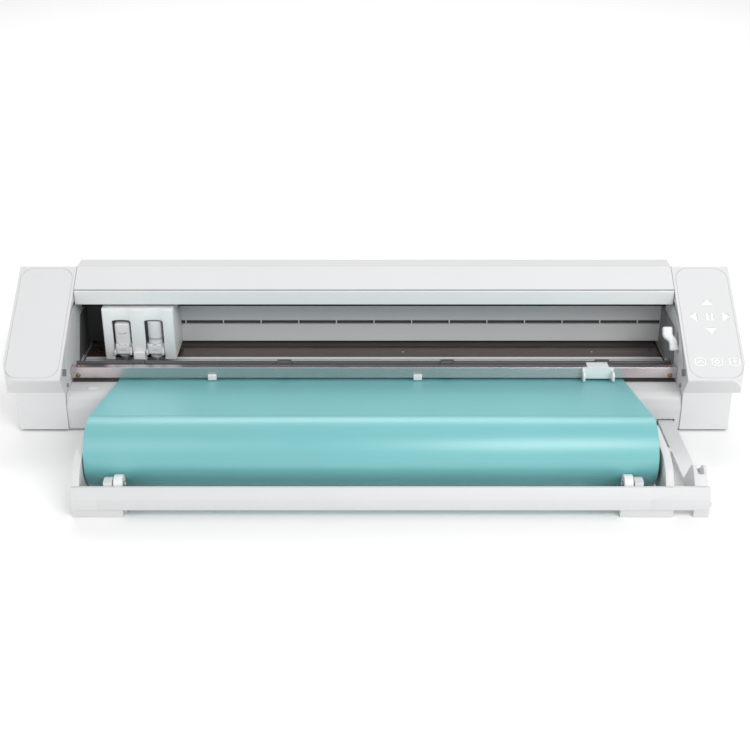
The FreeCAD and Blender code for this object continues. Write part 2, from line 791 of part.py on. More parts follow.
handleOutline = [
    (354.5, 0), (364.4, 0), (364.4, 13), (358.5, 19.5),
    (358.5, 29.5), (346.5, 29.5), (346.5, 17.5), (354.5, 11),
]
handle = prism("XZ", handleOutline, handleThick, 0, {1.5: [0, 4, 5], 4: [2, 6], 3: [3, 7]})
place(handle, 0, stemBack + 1.1, stemHeight - 5.4, Rotation(Vector(1, 0, 0), -32))
leverHub = rod(9, 3.5, 368.5, leverBack, leverHeight)
leverBore = rod(3 + fitGap, 6, 367.5, leverBack, leverHeight)
keep(cut(join(leverPlate, neck, handle, leverHub), leverBore), "roller_lever")


# Tool carriage.
carriageBack = 130
coverWall = 2.5
coverDeep, coverTall = carriageBack - carriageFront, carriageTop - carriageLow
shellOuter = box(carriageLeft, carriageFront, carriageLow, carriageWide, coverDeep, coverTall)


def frontOrUpright(edge):
    corner = edge.Vertexes[0]
    return upright(edge) or (alongX(edge) and corner.Z > 100 and corner.Y < 80)


shellRound = roundEdges(shellOuter, 1.5, frontOrUpright)
shellHollow = box(
    carriageLeft + coverWall, carriageFront + coverWall, carriageLow - 5,
    carriageWide - 2 * coverWall, coverDeep + 5, coverTall + 3.4,
)
windowWide, windowTop = 22.9, 107.6
toolPlaces = (leftToolAcross, rightToolAcross)
windows = []
for middle in toolPlaces:
    left, low = middle - windowWide / 2, carriageLow - 1
    windows.append(box(left, carriageFront - 1, low, windowWide, coverWall + 2, windowTop - low))
beltNotch = box(carriageLeft - 1, 114, beltLow - 3, carriageWide + 2, 30, beltWide + 5.4)
keep(cut(shellRound, shellHollow, *windows, beltNotch), "carriage_cover")
frameLeft, frameWide = carriageLeft + coverWall + 0.3, carriageWide - 2 * coverWall - 0.6
framePlate = box(frameLeft, 97, carriageLow + 2, frameWide, 3, 62)
frameTop = box(frameLeft, 86, carriageTop - 4.7, frameWide, 69, 3)
frameShelf = box(frameLeft, 86, carriageTop - 7, frameWide, 14, 4)
guideRodBack = 92.6
rodHoles = [rod(2.2, 12, x, guideRodBack, 112, "z") for x in toolPlaces]
blockLeft = carriageLeft + 14
slideBlock = box(blockLeft, railMid - 10.2, railBase + 0.8, 59, 20.4, carriageTop - 4.7 - railBase - 0.8)
slideChannel = box(blockLeft - 1, railMid - 6.1, railBase - 1, 61, 12.2, 9.2)
keep(cut(slideBlock, slideChannel), "slide_block")
beltRun = pulleyBack - 8
clampLow = beltLow - 1.5
clampBlock = box(blockLeft + 14, beltRun - 3, clampLow, 26, 5.6, carriageTop - 4.7 - clampLow)
clampSlot = box(blockLeft + 13, beltRun - 0.5, beltLow - 2, 28, 2, beltWide + 2.4)
beltClamp = cut(clampBlock, clampSlot)
keep(cut(join(framePlate, frameTop, frameShelf, beltClamp), *rodHoles), "carriage_frame")
keep(group([rod(2.2, 58, x, guideRodBack, 60, "z") for x in toolPlaces]), "tool_guide_rods")
keep(roundEdges(box(-296.2, 66.5, 51.4, 14.2, 5.3, 16), 1.2, upright), "mark_sensor")
keep(group([rod(6.5, 20, x, 107, 84, "z") for x in toolPlaces]), "lift_coils")


holderLow, holderTall, holderHalf = 63, 12, 10.6
latchBack, latchHeight = toolBack - 12.2, 66.5
latchPin = 1.2
earWide = 2.1


def holder(across):
    """The ring that carries a tool up and down on its rod, with two ears for the latch's pin."""
    ring = box(across - holderHalf, toolBack - 9.8, holderLow, 2 * holderHalf, 20.8, holderTall)
    tongue = box(across - 5, toolBack + 6, holderLow, 10, 9.4, holderTall)
    ears = []
    for left in (across - holderHalf, across + holderHalf - earWide):
        ear = box(left, latchBack - 2.4, holderLow, earWide, 8.6, 6)
        ears.append(roundEdges(ear, 1.8, lambda e: alongX(e) and e.Vertexes[0].Y < latchBack.value))
    bore = rod(toolRadius - 1, 20, across, toolBack, holderLow - 4, "z")
    sleeve = rod(2.2 + fitGap, 20, across, guideRodBack, holderLow - 4, "z")
    pinHole = rod(latchPin + fitGap, 30, across - 15, latchBack, latchHeight)
    return cut(join(roundEdges(ring, 3, upright), tongue, *ears), bore, sleeve, pinHole)


def latch(across):
    """The clamp's front tab, on a pin at its lower edge."""
    tab = roundEdges(box(across - 8, latchBack - 2, latchHeight - 2, 16, 4, 13), 1.6, alongX)
    return join(tab, rod(latchPin, 2 * holderHalf, across - holderHalf, latchBack, latchHeight))


def nearTop(edge):
    return edge.Vertexes[0].Z > 100


for side, across in (("left", leftToolAcross), ("right", rightToolAcross)):
    keep(holder(across), side + "_tool_holder")
    keep(latch(across), side + "_tool_latch")
barrelLow = 75.3
leftBarrel = roundEdges(rod(toolRadius, 28, leftToolAcross, toolBack, barrelLow, "z"), 2.5, nearTop)
leftShank = rod(toolRadius - 1, 16, leftToolAcross, toolBack, 59.5, "z")
leftNose = cone(4.5, toolRadius - 1, 4, leftToolAcross, toolBack, 55.5)
keep(join(leftBarrel, leftShank, leftNose), "left_blade_housing")
keep(cone(0.5, 3, 5, leftToolAcross, toolBack, 50.5), "left_blade_tip")
rightBarrel = roundEdges(rod(toolRadius, 30, rightToolAcross, toolBack, barrelLow, "z"), 1, nearTop)
rightShank = rod(toolRadius - 1, 18, rightToolAcross, toolBack, 57.5, "z")
rightTip = cone(0.6, 3.4, 7, rightToolAcross, toolBack, 50.5)
keep(join(rightBarrel, rightShank, rightTip), "right_tool_body")


# Carriage belt drive.
beltInner = pulleyRadius + 0.3
beltOuter = beltInner + 1.2


def beltLoop(radius, low, tall):
    straight = box(-pulleyAcross, pulleyBack - radius, low, 2 * pulleyAcross, 2 * radius, tall)
    ends = [rod(radius, tall, x, pulleyBack, low, "z") for x in (-pulleyAcross, pulleyAcross)]
    return join(straight, *ends)


beltHollow = beltLoop(beltInner, beltLow - 1, beltWide + 2)
keep(cut(beltLoop(beltOuter, beltLow, beltWide), beltHollow), "timing_belt")


def flangedPulley(x, shaftRadius, bored):
    """A belt pulley with a flange above and below the belt."""
    wheel = rod(pulleyRadius, beltWide + 1.4, x, pulleyBack, beltLow - 0.7, "z")
    flangeDiscs = [rod(9, 1, x, pulleyBack, low, "z") for low in (beltLow - 1.6, beltLow + beltWide + 0.6)]
    if bored:
        return cut(join(wheel, *flangeDiscs), rod(shaftRadius + fitGap, 20, x, pulleyBack, beltLow - 5, "z"))
    return join(wheel, *flangeDiscs, rod(shaftRadius, 20, x, pulleyBack, beltLow - 11, "z"))


bracketLow = beltLow - 11
keep(flangedPulley(-pulleyAcross, 2.5, False), "motor_pulley")
keep(flangedPulley(pulleyAcross, 2.5, True), "idler_pulley")
motorPlate = box(-421, 102, bracketLow, 53.4, 46, 2)
motorBracket = cut(motorPlate, rod(4, 6, -pulleyAcross, pulleyBack, bracketLow - 2, "z"))
motorCase = box(-pulleyAcross - 21, pulleyBack - 21, bracketLow - 40, 42, 42, 39.8)
keep(group([roundEdges(motorCase, 4, upright), feedMotor]), "stepper_motors")
idlerPlate = box(367.6, 104, bracketLow, 50, 42, 2)
idlerBracket = join(idlerPlate, rod(2.5, 19, pulleyAcross, pulleyBack, bracketLow, "z"))
keep(group([motorBracket, idlerBracket]), "pulley_brackets")


# Electronics in the right pod.
boardLow = 12
board = box(371, 20, boardLow, 44, 90, 1.6)
chipTop = boardLow + 1.6
chips = [
    box(378, 40, chipTop, 14, 14, 2),
    box(396, 70, chipTop, 12, 20, 4),
    box(376, 84, chipTop, 8, 18, 9),
]
keep(group([join(board, *chips), touchBoard]), "circuit_boards")
jackBody = box(jackAcross - 7.5, 186, jackHeight - 7.5, 15, 14.4, 15)
jackCollar = rod(5, 2.2, jackAcross, 200.4, jackHeight, "y")
powerSocket = cut(join(jackBody, jackCollar), rod(3.9, 14, jackAcross, 190, jackHeight, "y"))
dataBody = box(dataLeft + 0.3, 184, dataLow + 0.2, 12, 18.6, 11.1)
dataSocket = cut(dataBody, box(dataLeft + 1.8, 190, dataLow + 1.6, 9, 14, 8.2))
keep(group([powerSocket, dataSocket]), "rear_sockets")


# Roll feeder drawer.
beamRear = drawerFront + 8.5
frontOutline = [
    (drawerFront, 9.5), (drawerFront, 22.5), (drawerFront + 6, 33.5), (beamRear, 34), (beamRear, 9.5),
]
frontHollow = [
    (drawerFront + 2.2, 11.7), (drawerFront + 2.2, 22), (drawerFront + 7.6, 31.8),
    (beamRear + 4, 31.8), (beamRear + 4, 11.7),
]
drawerWide = drawerRight - drawerLeft
beamSkin = prism("YZ", frontOutline, drawerWide, drawerLeft)
beamInside = prism("YZ", frontHollow, drawerWide - 5, drawerLeft + 2.5)
wingOutline = [
    (beamRear, 10), (beamRear, 34.2), (drawerFront + 7, 34.2), (-186.5, 48.5), (-170, 57),
    (-100, 58), (drawerRear, 42), (drawerRear, 10),
]
wingThick = 8.5
wingRounds = {4: [3], 9: [4], 12: [5, 6]}
leftWing = prism("YZ", wingOutline, wingThick, drawerLeft, wingRounds)
leftNotch = box(drawerLeft - 1, drawerFront + 17, 38.5, 3, 8, 3)
rightWing = prism("YZ", wingOutline, wingThick, 306.5, wingRounds)
keep(group([cut(leftWing, leftNotch), rightWing]), "end_plates")
bracketOutline = [
    (beamRear, 14), (beamRear, 34.2), (drawerFront + 8, 34.2), (-184, 45.5),
    (-177, 49.5), (-171, 46), (-148, 14),
]
bracket = prism("YZ", bracketOutline, 14, 337, {3: [3, 4, 5]})
bracketPocket = box(341, -186, 36, 7, 20, 20)
keep(cut(bracket, bracketPocket), "right_end_bracket")
rightArm = box(339, beamRear, 8.5, 18, armBack - beamRear, 5)
leftArm = box(drawerLeft, drawerRear, 8, wingThick, armBack - drawerRear, 10)
keep(group([rightArm, leftArm]), "drawer_arms")
rearBar = box(drawerLeft + wingThick, drawerRear - 8, 10, 306.5 - drawerLeft - wingThick, 8, 14)
rearTie = box(drawerRight - 38, drawerRear - 8, 8.5, 24, 8, 5)
keep(group([rearBar, rearTie]), "drawer_rear_bar")
footPlaces = ((-318, 53, 6.9, 11), (260, 56, 6.9, 11), (337.4, 15.6, 6.9, 11))
drawerFeet = [box(x, drawerFront + 1.4, 0, wide, deep, tall) for x, wide, deep, tall in footPlaces]
keep(join(cut(beamSkin, beamInside), *drawerFeet), "drawer_front_beam")


def rollStand(baseLeft, blockLeft):
    """The cradle under one end of the roll: a floor plate with a block for each wheel."""
    blockWide = 9
    plate = box(baseLeft, beamRear, 0, 28, drawerRear - 8 - beamRear, 4.5)
    frontBlock = prism("YZ", [
        (beamRear + 0.4, 3), (beamRear + 0.4, 38), (-186, 39), (-177.6, 36), (-177.6, 3),
    ], blockWide, blockLeft, {3: [2, 3]})
    rearBlock = prism("YZ", [
        (-101, 3), (-101, 22), (-97, 25), (-88, 25), (-84, 20), (-84, 3),
    ], blockWide, blockLeft)
    pins = [rod(2, 21, wheelStart(blockLeft), y, z) for y, z in wheelCentres]
    return join(plate, frontBlock, rearBlock, *pins)


wheelCentres = ((frontWheelBack, frontWheelHeight), (rearWheelBack, rearWheelHeight))
wheelWide = 9.6
wheelLefts = (-274.6, 263.8)


def wheelStart(blockLeft):
    """Where a stand's two wheel pins begin: they end flush with the wheel's far side."""
    return blockLeft + 0.5 if blockLeft < 0 else blockLeft - 12.2


keep(group([rollStand(-290, -284.5), rollStand(262, 274.2)]), "roll_stands")
for label, (y, z) in zip(("front_roll_wheels", "rear_roll_wheels"), wheelCentres):
    keep(group([tube(wheelRadius, 2 + fitGap, wheelWide, x, y, z) for x in wheelLefts]), label)


# Vinyl roll and its web.
keep(tube(rollRadius, coreRadius, rollWide, rollLeft, rollBack, rollHeight), "vinyl_roll")
keep(tube(coreRadius, coreBore, rollWide + 1.6, rollLeft - 0.8, rollBack, rollHeight), "roll_core")
webFall = 0.2196
normal = 1 / math.hypot(1, webFall)
webStart = rollRadius + 0.3


def leaving(offset):
    """The point where the web's face leaves the roll's top."""
    reach = webStart + offset
    return rollBack + reach * webFall * normal, rollHeight + reach * normal


lowStart, highStart = leaving(0), leaving(mediaThick)
webEnd = rollerBack + 14
webOutline = [
    lowStart,
    highStart,
    (highStart[0] + (highStart[1] - mediaHeight - mediaThick) / webFall, mediaHeight + mediaThick),
    (webEnd, mediaHeight + mediaThick),
    (webEnd, mediaHeight),
    (lowStart[0] + (lowStart[1] - mediaHeight) / webFall, mediaHeight),
]
keep(prism("YZ", webOutline, rollWide, rollLeft - 0.5), "vinyl_web")


# Check and write.
doc.recompute()
broken = [item.Label for item in doc.Objects if "Invalid" in item.State or "Error" in item.State]
if broken:
    raise RuntimeError("failed objects: %s" % broken)
os.makedirs("parts", exist_ok=True)
for item in finished:
    shape = item.Shape
    if shape.isNull() or not shape.isValid() or not shape.Solids:
        raise RuntimeError("bad shape: %s" % item.Label)
    shape.exportStep("parts/%s.step" % item.Label)
    print("%-22s %2d solids %9.0f mm3" % (item.Label, len(shape.Solids), shape.Volume))
print(len(finished), "nodes")
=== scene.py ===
import math

import bmesh
import bpy
from mathutils import Matrix, Vector


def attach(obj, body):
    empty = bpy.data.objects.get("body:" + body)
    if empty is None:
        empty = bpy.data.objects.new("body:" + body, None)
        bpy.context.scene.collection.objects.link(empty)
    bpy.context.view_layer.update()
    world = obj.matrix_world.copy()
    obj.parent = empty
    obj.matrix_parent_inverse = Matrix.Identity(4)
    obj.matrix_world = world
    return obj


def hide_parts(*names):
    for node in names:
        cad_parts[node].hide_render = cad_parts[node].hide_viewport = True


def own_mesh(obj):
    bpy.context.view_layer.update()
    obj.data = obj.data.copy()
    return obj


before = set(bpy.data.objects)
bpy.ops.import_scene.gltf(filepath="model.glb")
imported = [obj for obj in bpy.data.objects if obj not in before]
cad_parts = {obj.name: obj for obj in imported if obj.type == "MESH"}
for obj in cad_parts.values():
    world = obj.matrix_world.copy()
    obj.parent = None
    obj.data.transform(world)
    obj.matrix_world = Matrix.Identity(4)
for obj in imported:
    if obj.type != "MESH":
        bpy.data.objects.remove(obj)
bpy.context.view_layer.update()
mm = 0.001


def at(x, y, z):
    return Vector((x, y, z)) * mm


# Small tools for modelling.
def deselectAll():
    if bpy.context.object and bpy.context.object.mode != "OBJECT":
        bpy.ops.object.mode_set(mode="OBJECT")
    bpy.ops.object.select_all(action="DESELECT")


def pickOnly(*pieces):
    deselectAll()
    for piece in pieces:
        piece.select_set(True)
    bpy.context.view_layer.objects.active = pieces[0]


def settle(name):  # names the new primitive and puts its place into its mesh
    piece = bpy.context.object
    piece.name = piece.data.name = name
    pickOnly(piece)
    bpy.ops.object.transform_apply(location=True, rotation=True, scale=True)
    return piece


def block(name, low, high):  # corners in millimetres
    deselectAll()
    low, high = at(*low), at(*high)
    bpy.ops.mesh.primitive_cube_add(size=1, location=(low + high) / 2, scale=high - low)
    return settle(name)


turnFor = {"X": (0, math.pi / 2, 0), "Y": (math.pi / 2, 0, 0), "Z": (0, 0, 0)}


def rod(name, radius, long, middle, along="X", sides=48):
    deselectAll()
    bpy.ops.mesh.primitive_cylinder_add(
        vertices=sides, radius=radius * mm, depth=long * mm, location=at(*middle),
        rotation=turnFor[along], end_fill_type="NGON",
    )
    return settle(name)


def select(piece, kind, test):  # in edit mode, the faces or edges whose middle passes the test
    pickOnly(piece)
    bpy.ops.object.mode_set(mode="EDIT")
    bpy.ops.mesh.select_mode(type=kind)
    bpy.ops.mesh.select_all(action="DESELECT")
    shape = bmesh.from_edit_mesh(piece.data)
    if kind == "FACE":
        for face in shape.faces:
            face.select_set(bool(test(face.calc_center_median() / mm, face.normal)))
    else:
        for edge in shape.edges:
            ends = [v.co / mm for v in edge.verts]
            edge.select_set(bool(test((ends[0] + ends[1]) / 2, (ends[1] - ends[0]).normalized())))
    shape.select_flush_mode()
    bmesh.update_edit_mesh(piece.data)


def leave():
    bpy.ops.object.mode_set(mode="OBJECT")


def bevelEdges(piece, width, steps, test):
    select(piece, "EDGE", test)
    bpy.ops.mesh.bevel(offset=width * mm, segments=steps, profile=0.5, affect="EDGES")
    leave()


def outline(name, corners, across, low, high):  # a closed outline, pulled along one axis from low to high
    deselectAll()
    bpy.ops.mesh.primitive_circle_add(vertices=len(corners), radius=0.01, fill_type="NGON")
    piece = settle(name)
    for vert, (u, v) in zip(piece.data.vertices, corners):
        vert.co = at(low, u, v) if across == "X" else at(u, low, v) if across == "Y" else at(u, v, low)
    pull = (high - low) * mm
    move = {"X": (pull, 0, 0), "Y": (0, pull, 0), "Z": (0, 0, pull)}[across]
    select(piece, "FACE", lambda middle, normal: True)
    bpy.ops.mesh.extrude_region_move(TRANSFORM_OT_translate={"value": move})
    bpy.ops.mesh.select_all(action="SELECT")
    bpy.ops.mesh.normals_make_consistent(inside=False)
    leave()
    return piece


def modify(piece, kind, **settings):
    pickOnly(piece)
    modifier = piece.modifiers.new(kind.lower(), kind)
    for key, value in settings.items():
        setattr(modifier, key, value)
    bpy.ops.object.modifier_apply(modifier=modifier.name)
    return piece


def soften(piece, width, steps=3, angle=30):
    return modify(
        piece, "BEVEL", width=width * mm, segments=steps, limit_method="ANGLE",
        angle_limit=math.radians(angle), use_clamp_overlap=True, harden_normals=False,
    )


def combine(piece, tool, operation="DIFFERENCE"):
    modify(piece, "BOOLEAN", object=tool, operation=operation, solver="EXACT")
    bpy.data.objects.remove(tool)
    return piece


def merge(name, *pieces):
    pickOnly(*pieces)
    bpy.ops.object.join()
    return settle(name)


def ring(name, outer, inner, long, middle, along="X", sides=64):
    piece = rod(name, outer, long, middle, along, sides)
    axis = {"X": 0, "Y": 1, "Z": 2}[along]
    select(piece, "FACE", lambda centre, normal: abs(normal[axis]) > 0.9)
    bpy.ops.mesh.inset(thickness=(outer - inner) * mm, depth=0)
    bpy.ops.mesh.bridge_edge_loops()
    bpy.ops.mesh.select_all(action="SELECT")
    bpy.ops.mesh.normals_make_consistent(inside=False)
    leave()
    return piece


def turned(piece, degrees, axis, pivot):  # turns a piece in its mesh about a point in millimetres
    pivot = at(*pivot)
    turn = Matrix.Rotation(math.radians(degrees), 4, axis)
    piece.data.transform(Matrix.Translation(pivot) @ turn @ Matrix.Translation(-pivot))
    return piece


def done(piece, body, finish, slotName, *nodes, smooth=35):
    piece.data.materials.clear()
    piece.data.materials.append(finish.material)
    pickOnly(piece)
    bpy.ops.object.shade_smooth_by_angle(angle=math.radians(smooth))
    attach(piece, body)
    if nodes:
        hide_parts(*nodes)
    return piece


# Small tools for materials.
class Flow:  # one shader socket, so that plain sums can be written with it
    def __init__(self, finish, socket):
        self.finish = finish
        self.socket = socket

    def sum(self, operation, first, second):
        return self.finish.node("ShaderNodeMath", {"operation": operation}, {0: first, 1: second})

    def __add__(self, other):
        return self.sum("ADD", self, other)

    def __radd__(self, other):
        return self.sum("ADD", other, self)

    def __sub__(self, other):
        return self.sum("SUBTRACT", self, other)

    def __rsub__(self, other):
        return self.sum("SUBTRACT", other, self)

    def __mul__(self, other):
        return self.sum("MULTIPLY", self, other)

    def __pow__(self, other):
        return self.sum("POWER", self, other)

    def __gt__(self, other):
        return self.sum("GREATER_THAN", self, other)

    def __lt__(self, other):
        return self.sum("LESS_THAN", self, other)


class Finish:  # a material built round one Principled shader
    def __init__(self, name, fixed):
        self.material = bpy.data.materials.new(name)
        self.material.use_nodes = True
        self.tree = self.material.node_tree
        self.shader = self.tree.nodes["Principled BSDF"]
        for socket, value in fixed.items():
            self.shader.inputs[socket].default_value = value
        self.spot = self.node("ShaderNodeTexCoord", {}, {}, "Object")

    def join(self, value, socket):
        if isinstance(value, Flow):
            self.tree.links.new(value.socket, socket)
        else:
            socket.default_value = value

    def node(self, kind, settings, sockets, output=0):
        made = self.tree.nodes.new(kind)
        for key, value in settings.items():
            if key == "stops":
                self.setStops(made.color_ramp, value)
            else:
                setattr(made, key, value)
        for key, value in sockets.items():
            self.join(value, made.inputs[key])
        return Flow(self, made.outputs[output])

    def setStops(self, ramp, stops):
        while len(ramp.elements) < len(stops):
            ramp.elements.new(0.5)
        for element, (place, colour) in zip(ramp.elements, stops):
            element.position = place
            element.color = (*colour, 1)

    def stretched(self, x, y, z):
        return self.node("ShaderNodeMapping", {}, {"Vector": self.spot, "Scale": (x, y, z)})

    def noise(self, scale, detail=2, spot=None):
        sockets = {"Vector": spot or self.spot, "Scale": scale, "Detail": detail}
        return self.node("ShaderNodeTexNoise", {}, sockets, "Fac")

    def axis(self, name):
        return self.node("ShaderNodeSeparateXYZ", {}, {"Vector": self.spot}, name)

    def mix(self, mask, first, second):
        first, second = [c if isinstance(c, Flow) else (*c, 1) for c in (first, second)]
        return self.node("ShaderNodeMix", {"data_type": "RGBA"}, {0: mask, 6: first, 7: second}, 2)

    def tint(self, colour, mask, amount):  # the colour, a little darker and lighter with the mask
        dark = [c * (1 - amount) for c in colour]
        light = [min(1, c * (1 + amount)) for c in colour]
        return self.mix(mask, dark, light)

    def feed(self, name, value):
        self.join(value, self.shader.inputs[name])

    def bump(self, height, strength, depth):
        normal = self.node(
            "ShaderNodeBump", {}, {"Height": height, "Strength": strength, "Distance": depth}, "Normal"
        )
        self.feed("Normal", normal)


# Finishes.
def mouldedPlastic(name, colour, rough, grain=0.08, variation=0.02):
    finish = Finish(name, {"IOR": 1.46})
    cloud = finish.noise(14, 3)  # slow flow marks
    speck = finish.noise(2600, 2)  # fine mould grain
    finish.feed("Base Color", finish.tint(colour, cloud, variation))
    finish.feed("Roughness", (cloud - 0.5) * 0.10 + (speck - 0.5) * 0.06 + rough)
    finish.bump(speck * 0.7 + cloud * 0.3, grain, 0.00012)
    return finish


def paintedSheet(name, colour, rough, peel=0.10):
    finish = Finish(name, {"IOR": 1.5})
    ripple = finish.noise(700, 3)  # orange peel of powder paint
    cloud = finish.noise(11, 2)
    finish.feed("Base Color", finish.tint(colour, cloud, 0.025))
    finish.feed("Roughness", (ripple - 0.5) * 0.14 + rough)
    finish.bump(ripple, peel, 0.00018)
    return finish


def brushedMetal(name, colour, rough, stretch=(3, 900, 900), groove=0.10, metal=1.0):
    finish = Finish(name, {"Metallic": metal})
    lines = finish.noise(1, 4, finish.stretched(*stretch))
    cloud = finish.noise(18, 2)
    finish.feed("Base Color", finish.tint(colour, lines * 0.7 + cloud * 0.3, 0.08))
    finish.feed("Roughness", (lines - 0.5) * 0.25 + (cloud - 0.5) * 0.08 + rough)
    finish.bump(lines, groove, 0.00008)
    return finish


def rubberFinish(name, colour, rough):
    finish = Finish(name, {"IOR": 1.5})
    pores = finish.noise(1900, 3)
    bloom = finish.noise(40, 3)
    finish.feed("Base Color", finish.tint(colour, bloom, 0.25))
    finish.feed("Roughness", (pores - 0.5) * 0.15 + rough)
    finish.bump(pores, 0.25, 0.0002)
    return finish


shellWhite = mouldedPlastic("shellWhite", (0.74, 0.745, 0.75), 0.42)
panelWhite = mouldedPlastic("panelWhite", (0.75, 0.755, 0.76), 0.30, 0.03, 0.01)
lidWhite = mouldedPlastic("lidWhite", (0.76, 0.765, 0.77), 0.40)
deckWhite = mouldedPlastic("deckWhite", (0.70, 0.705, 0.71), 0.48)
toolWhite = mouldedPlastic("toolWhite", (0.74, 0.745, 0.75), 0.36)
clipWhite = mouldedPlastic("clipWhite", (0.84, 0.845, 0.85), 0.30)
carriageWhite = mouldedPlastic("carriageWhite", (0.86, 0.865, 0.87), 0.40)
roofGrey = paintedSheet("roofGrey", (0.59, 0.595, 0.60), 0.45)
drawerWhite = paintedSheet("drawerWhite", (0.70, 0.705, 0.71), 0.42, 0.05)
beamGrey = paintedSheet("beamGrey", (0.74, 0.74, 0.745), 0.50)
darkGrey = paintedSheet("darkGrey", (0.10, 0.10, 0.105), 0.50)
plateGrey = paintedSheet("plateGrey", (0.50, 0.50, 0.51), 0.42)
railPink = brushedMetal("railPink", (0.60, 0.545, 0.555), 0.28, (2, 700, 700), 0.06, 0.85)
groundSteel = brushedMetal("groundSteel", (0.55, 0.55, 0.56), 0.28)
pressedSteel = brushedMetal("pressedSteel", (0.60, 0.60, 0.61), 0.35, (60, 60, 60), 0.04)
turnedMetal = brushedMetal("turnedMetal", (0.62, 0.62, 0.63), 0.28, (500, 30, 30), 0.10)
copperPlate = brushedMetal("copperPlate", (0.36, 0.22, 0.165), 0.28, (200, 200, 200), 0.05)
bronze = brushedMetal("bronze", (0.45, 0.32, 0.17), 0.42, (300, 300, 300), 0.12)
footRubber = rubberFinish("footRubber", (0.022, 0.022, 0.024), 0.75)
beltRubber = rubberFinish("beltRubber", (0.016, 0.016, 0.017), 0.6)
pinchRubber = rubberFinish("pinchRubber", (0.05, 0.05, 0.055), 0.65)
socketBlack = mouldedPlastic("socketBlack", (0.02, 0.02, 0.022), 0.35)
# plain grey; on the inner-wall recess plates it is painted shade
greyAndRecessShade = mouldedPlastic("greyAndRecessShade", (0.26, 0.26, 0.27), 0.5)
# painted shade: black and grey for thin sheets laid where the bay is in shade
shadeSheetBlack = mouldedPlastic("shadeSheetBlack", (0.075, 0.075, 0.077), 0.6)
shadeSheetGrey = mouldedPlastic("shadeSheetGrey", (0.26, 0.26, 0.27), 0.5)


def stripFinish():
    finish = Finish("stripGrey", {"IOR": 1.5})
    y = finish.axis("Y")
    lines = finish.noise(1, 4, finish.stretched(3, 600, 600))
    seam = 1 - (((y - 0.0869) * (y - 0.0869)) > 2.0e-7)  # the dark joint behind the inlay
    bright = finish.tint((0.84, 0.84, 0.85), lines, 0.05)
    finish.feed("Base Color", finish.mix(seam, bright, (0.10, 0.10, 0.105)))
    finish.feed("Roughness", (lines - 0.5) * 0.2 + 0.34)
    finish.bump(lines, 0.05, 0.0001)
    return finish


def platenFinish():
    finish = Finish("platenBrown", {"IOR": 1.5, "Coat Roughness": 0.08})
    x, y = finish.axis("X"), finish.axis("Y")
    cloud = finish.noise(30, 4)
    lines = finish.noise(1, 3, finish.stretched(4, 260, 4))
    base = finish.tint((0.072, 0.047, 0.037), cloud * 0.5 + lines * 0.5, 0.35)
    away = (y - 0.1085) * (y - 0.1085)
    groove = 1 - (away > 1.6e-7)
    base = finish.mix(groove * (x > 0.276) * (x < 0.350), base, (0.18, 0.17, 0.16))
    for spot in (0.0367, 0.276):  # two small white register dots
        base = finish.mix((away + (x - spot) * (x - spot)) < 1.2e-6, base, (0.75, 0.74, 0.72))
    finish.feed("Base Color", base)
    finish.feed("Roughness", (cloud - 0.5) * 0.12 + 0.24)
    finish.feed("Coat Weight", 0.35 + (cloud - 0.5) * 0.2)
    finish.bump(cloud, 0.05, 0.0002)
    return finish


def knurledSteel():
    finish = Finish("knurledSteel", {"Metallic": 1.0})
    grit = finish.noise(3200, 2)
    x = finish.axis("X")
    gritHalf = 0.02
    band = 0
    for middle in (-0.290, -0.110, 0.090, 0.280):
        away = x - middle
        band = band + ((away * away) < gritHalf ** 2)
    finish.feed("Base Color", finish.mix(band * grit, (0.42, 0.42, 0.43), (0.16, 0.16, 0.16)))
    finish.feed("Roughness", band * 0.35 + (grit - 0.5) * 0.1 + 0.3)
    finish.bump(band * grit, 0.5, 0.0002)
    return finish


def boardFinish():
    finish = Finish("boardGreen", {"IOR": 1.5})
    z = finish.axis("Z")
    cells = finish.node("ShaderNodeTexVoronoi", {}, {"Vector": finish.spot, "Scale": 260}, "Distance")
    tracks = finish.node(
        "ShaderNodeTexBrick", {"offset": 0.5},
        {"Vector": finish.spot, "Scale": 120, "Mortar Size": 0.03, "Color1": (0, 0, 0, 1),
         "Color2": (0, 0, 0, 1), "Mortar": (1, 1, 1, 1)}, "Color",
    )
    chips = (z > 0.0138) * (z < 0.03)
    base = finish.mix(tracks, (0.012, 0.09, 0.035), (0.03, 0.20, 0.08))
    base = finish.mix(cells < 0.08, base, (0.6, 0.6, 0.55))
    base = finish.mix(chips, base, (0.02, 0.02, 0.022))
    finish.feed("Base Color", base)
    finish.feed("Roughness", 0.4 + (cells - 0.3) * 0.1)
    finish.bump(tracks, 0.2, 0.0002)
    return finish


def filmFinish(name, centre=None, half=None):  # coloured vinyl film; on the roll, its ends show the layers
    finish = Finish(name, {"IOR": 1.8})
    colour = (0.168, 0.50, 0.52)
    streak = finish.noise(1, 3, finish.stretched(9, 2, 2))
    peel = finish.noise(420, 2)
    base = finish.tint(colour, streak, 0.05)
    rough = (streak - 0.5) * 0.06 + (peel - 0.5) * 0.05 + 0.36
    height = peel * 0.3 + streak * 0.7
    if centre:
        x, y, z = finish.axis("X"), finish.axis("Y"), finish.axis("Z")
        away = ((y - centre[1]) ** 2 + (z - centre[2]) ** 2) ** 0.5
        end = ((x - centre[0]) * (x - centre[0])) > (half - 0.0002) ** 2
        wound = finish.node("ShaderNodeMath", {"operation": "SINE"}, {0: away * 9500})
        loose = finish.noise(1, 4, finish.node("ShaderNodeCombineXYZ", {}, {"X": away * 2200}))
        layers = wound * 0.25 + loose
        ends = finish.mix(layers, (0.05, 0.20, 0.205), (0.20, 0.60, 0.60))
        base = finish.mix(end, base, ends)
        rough = rough + end * 0.2
        height = height * (1 - end) + layers * end
    finish.feed("Base Color", base)
    finish.feed("Roughness", rough)
    finish.bump(height, 0.03, 0.0003)
    return finish


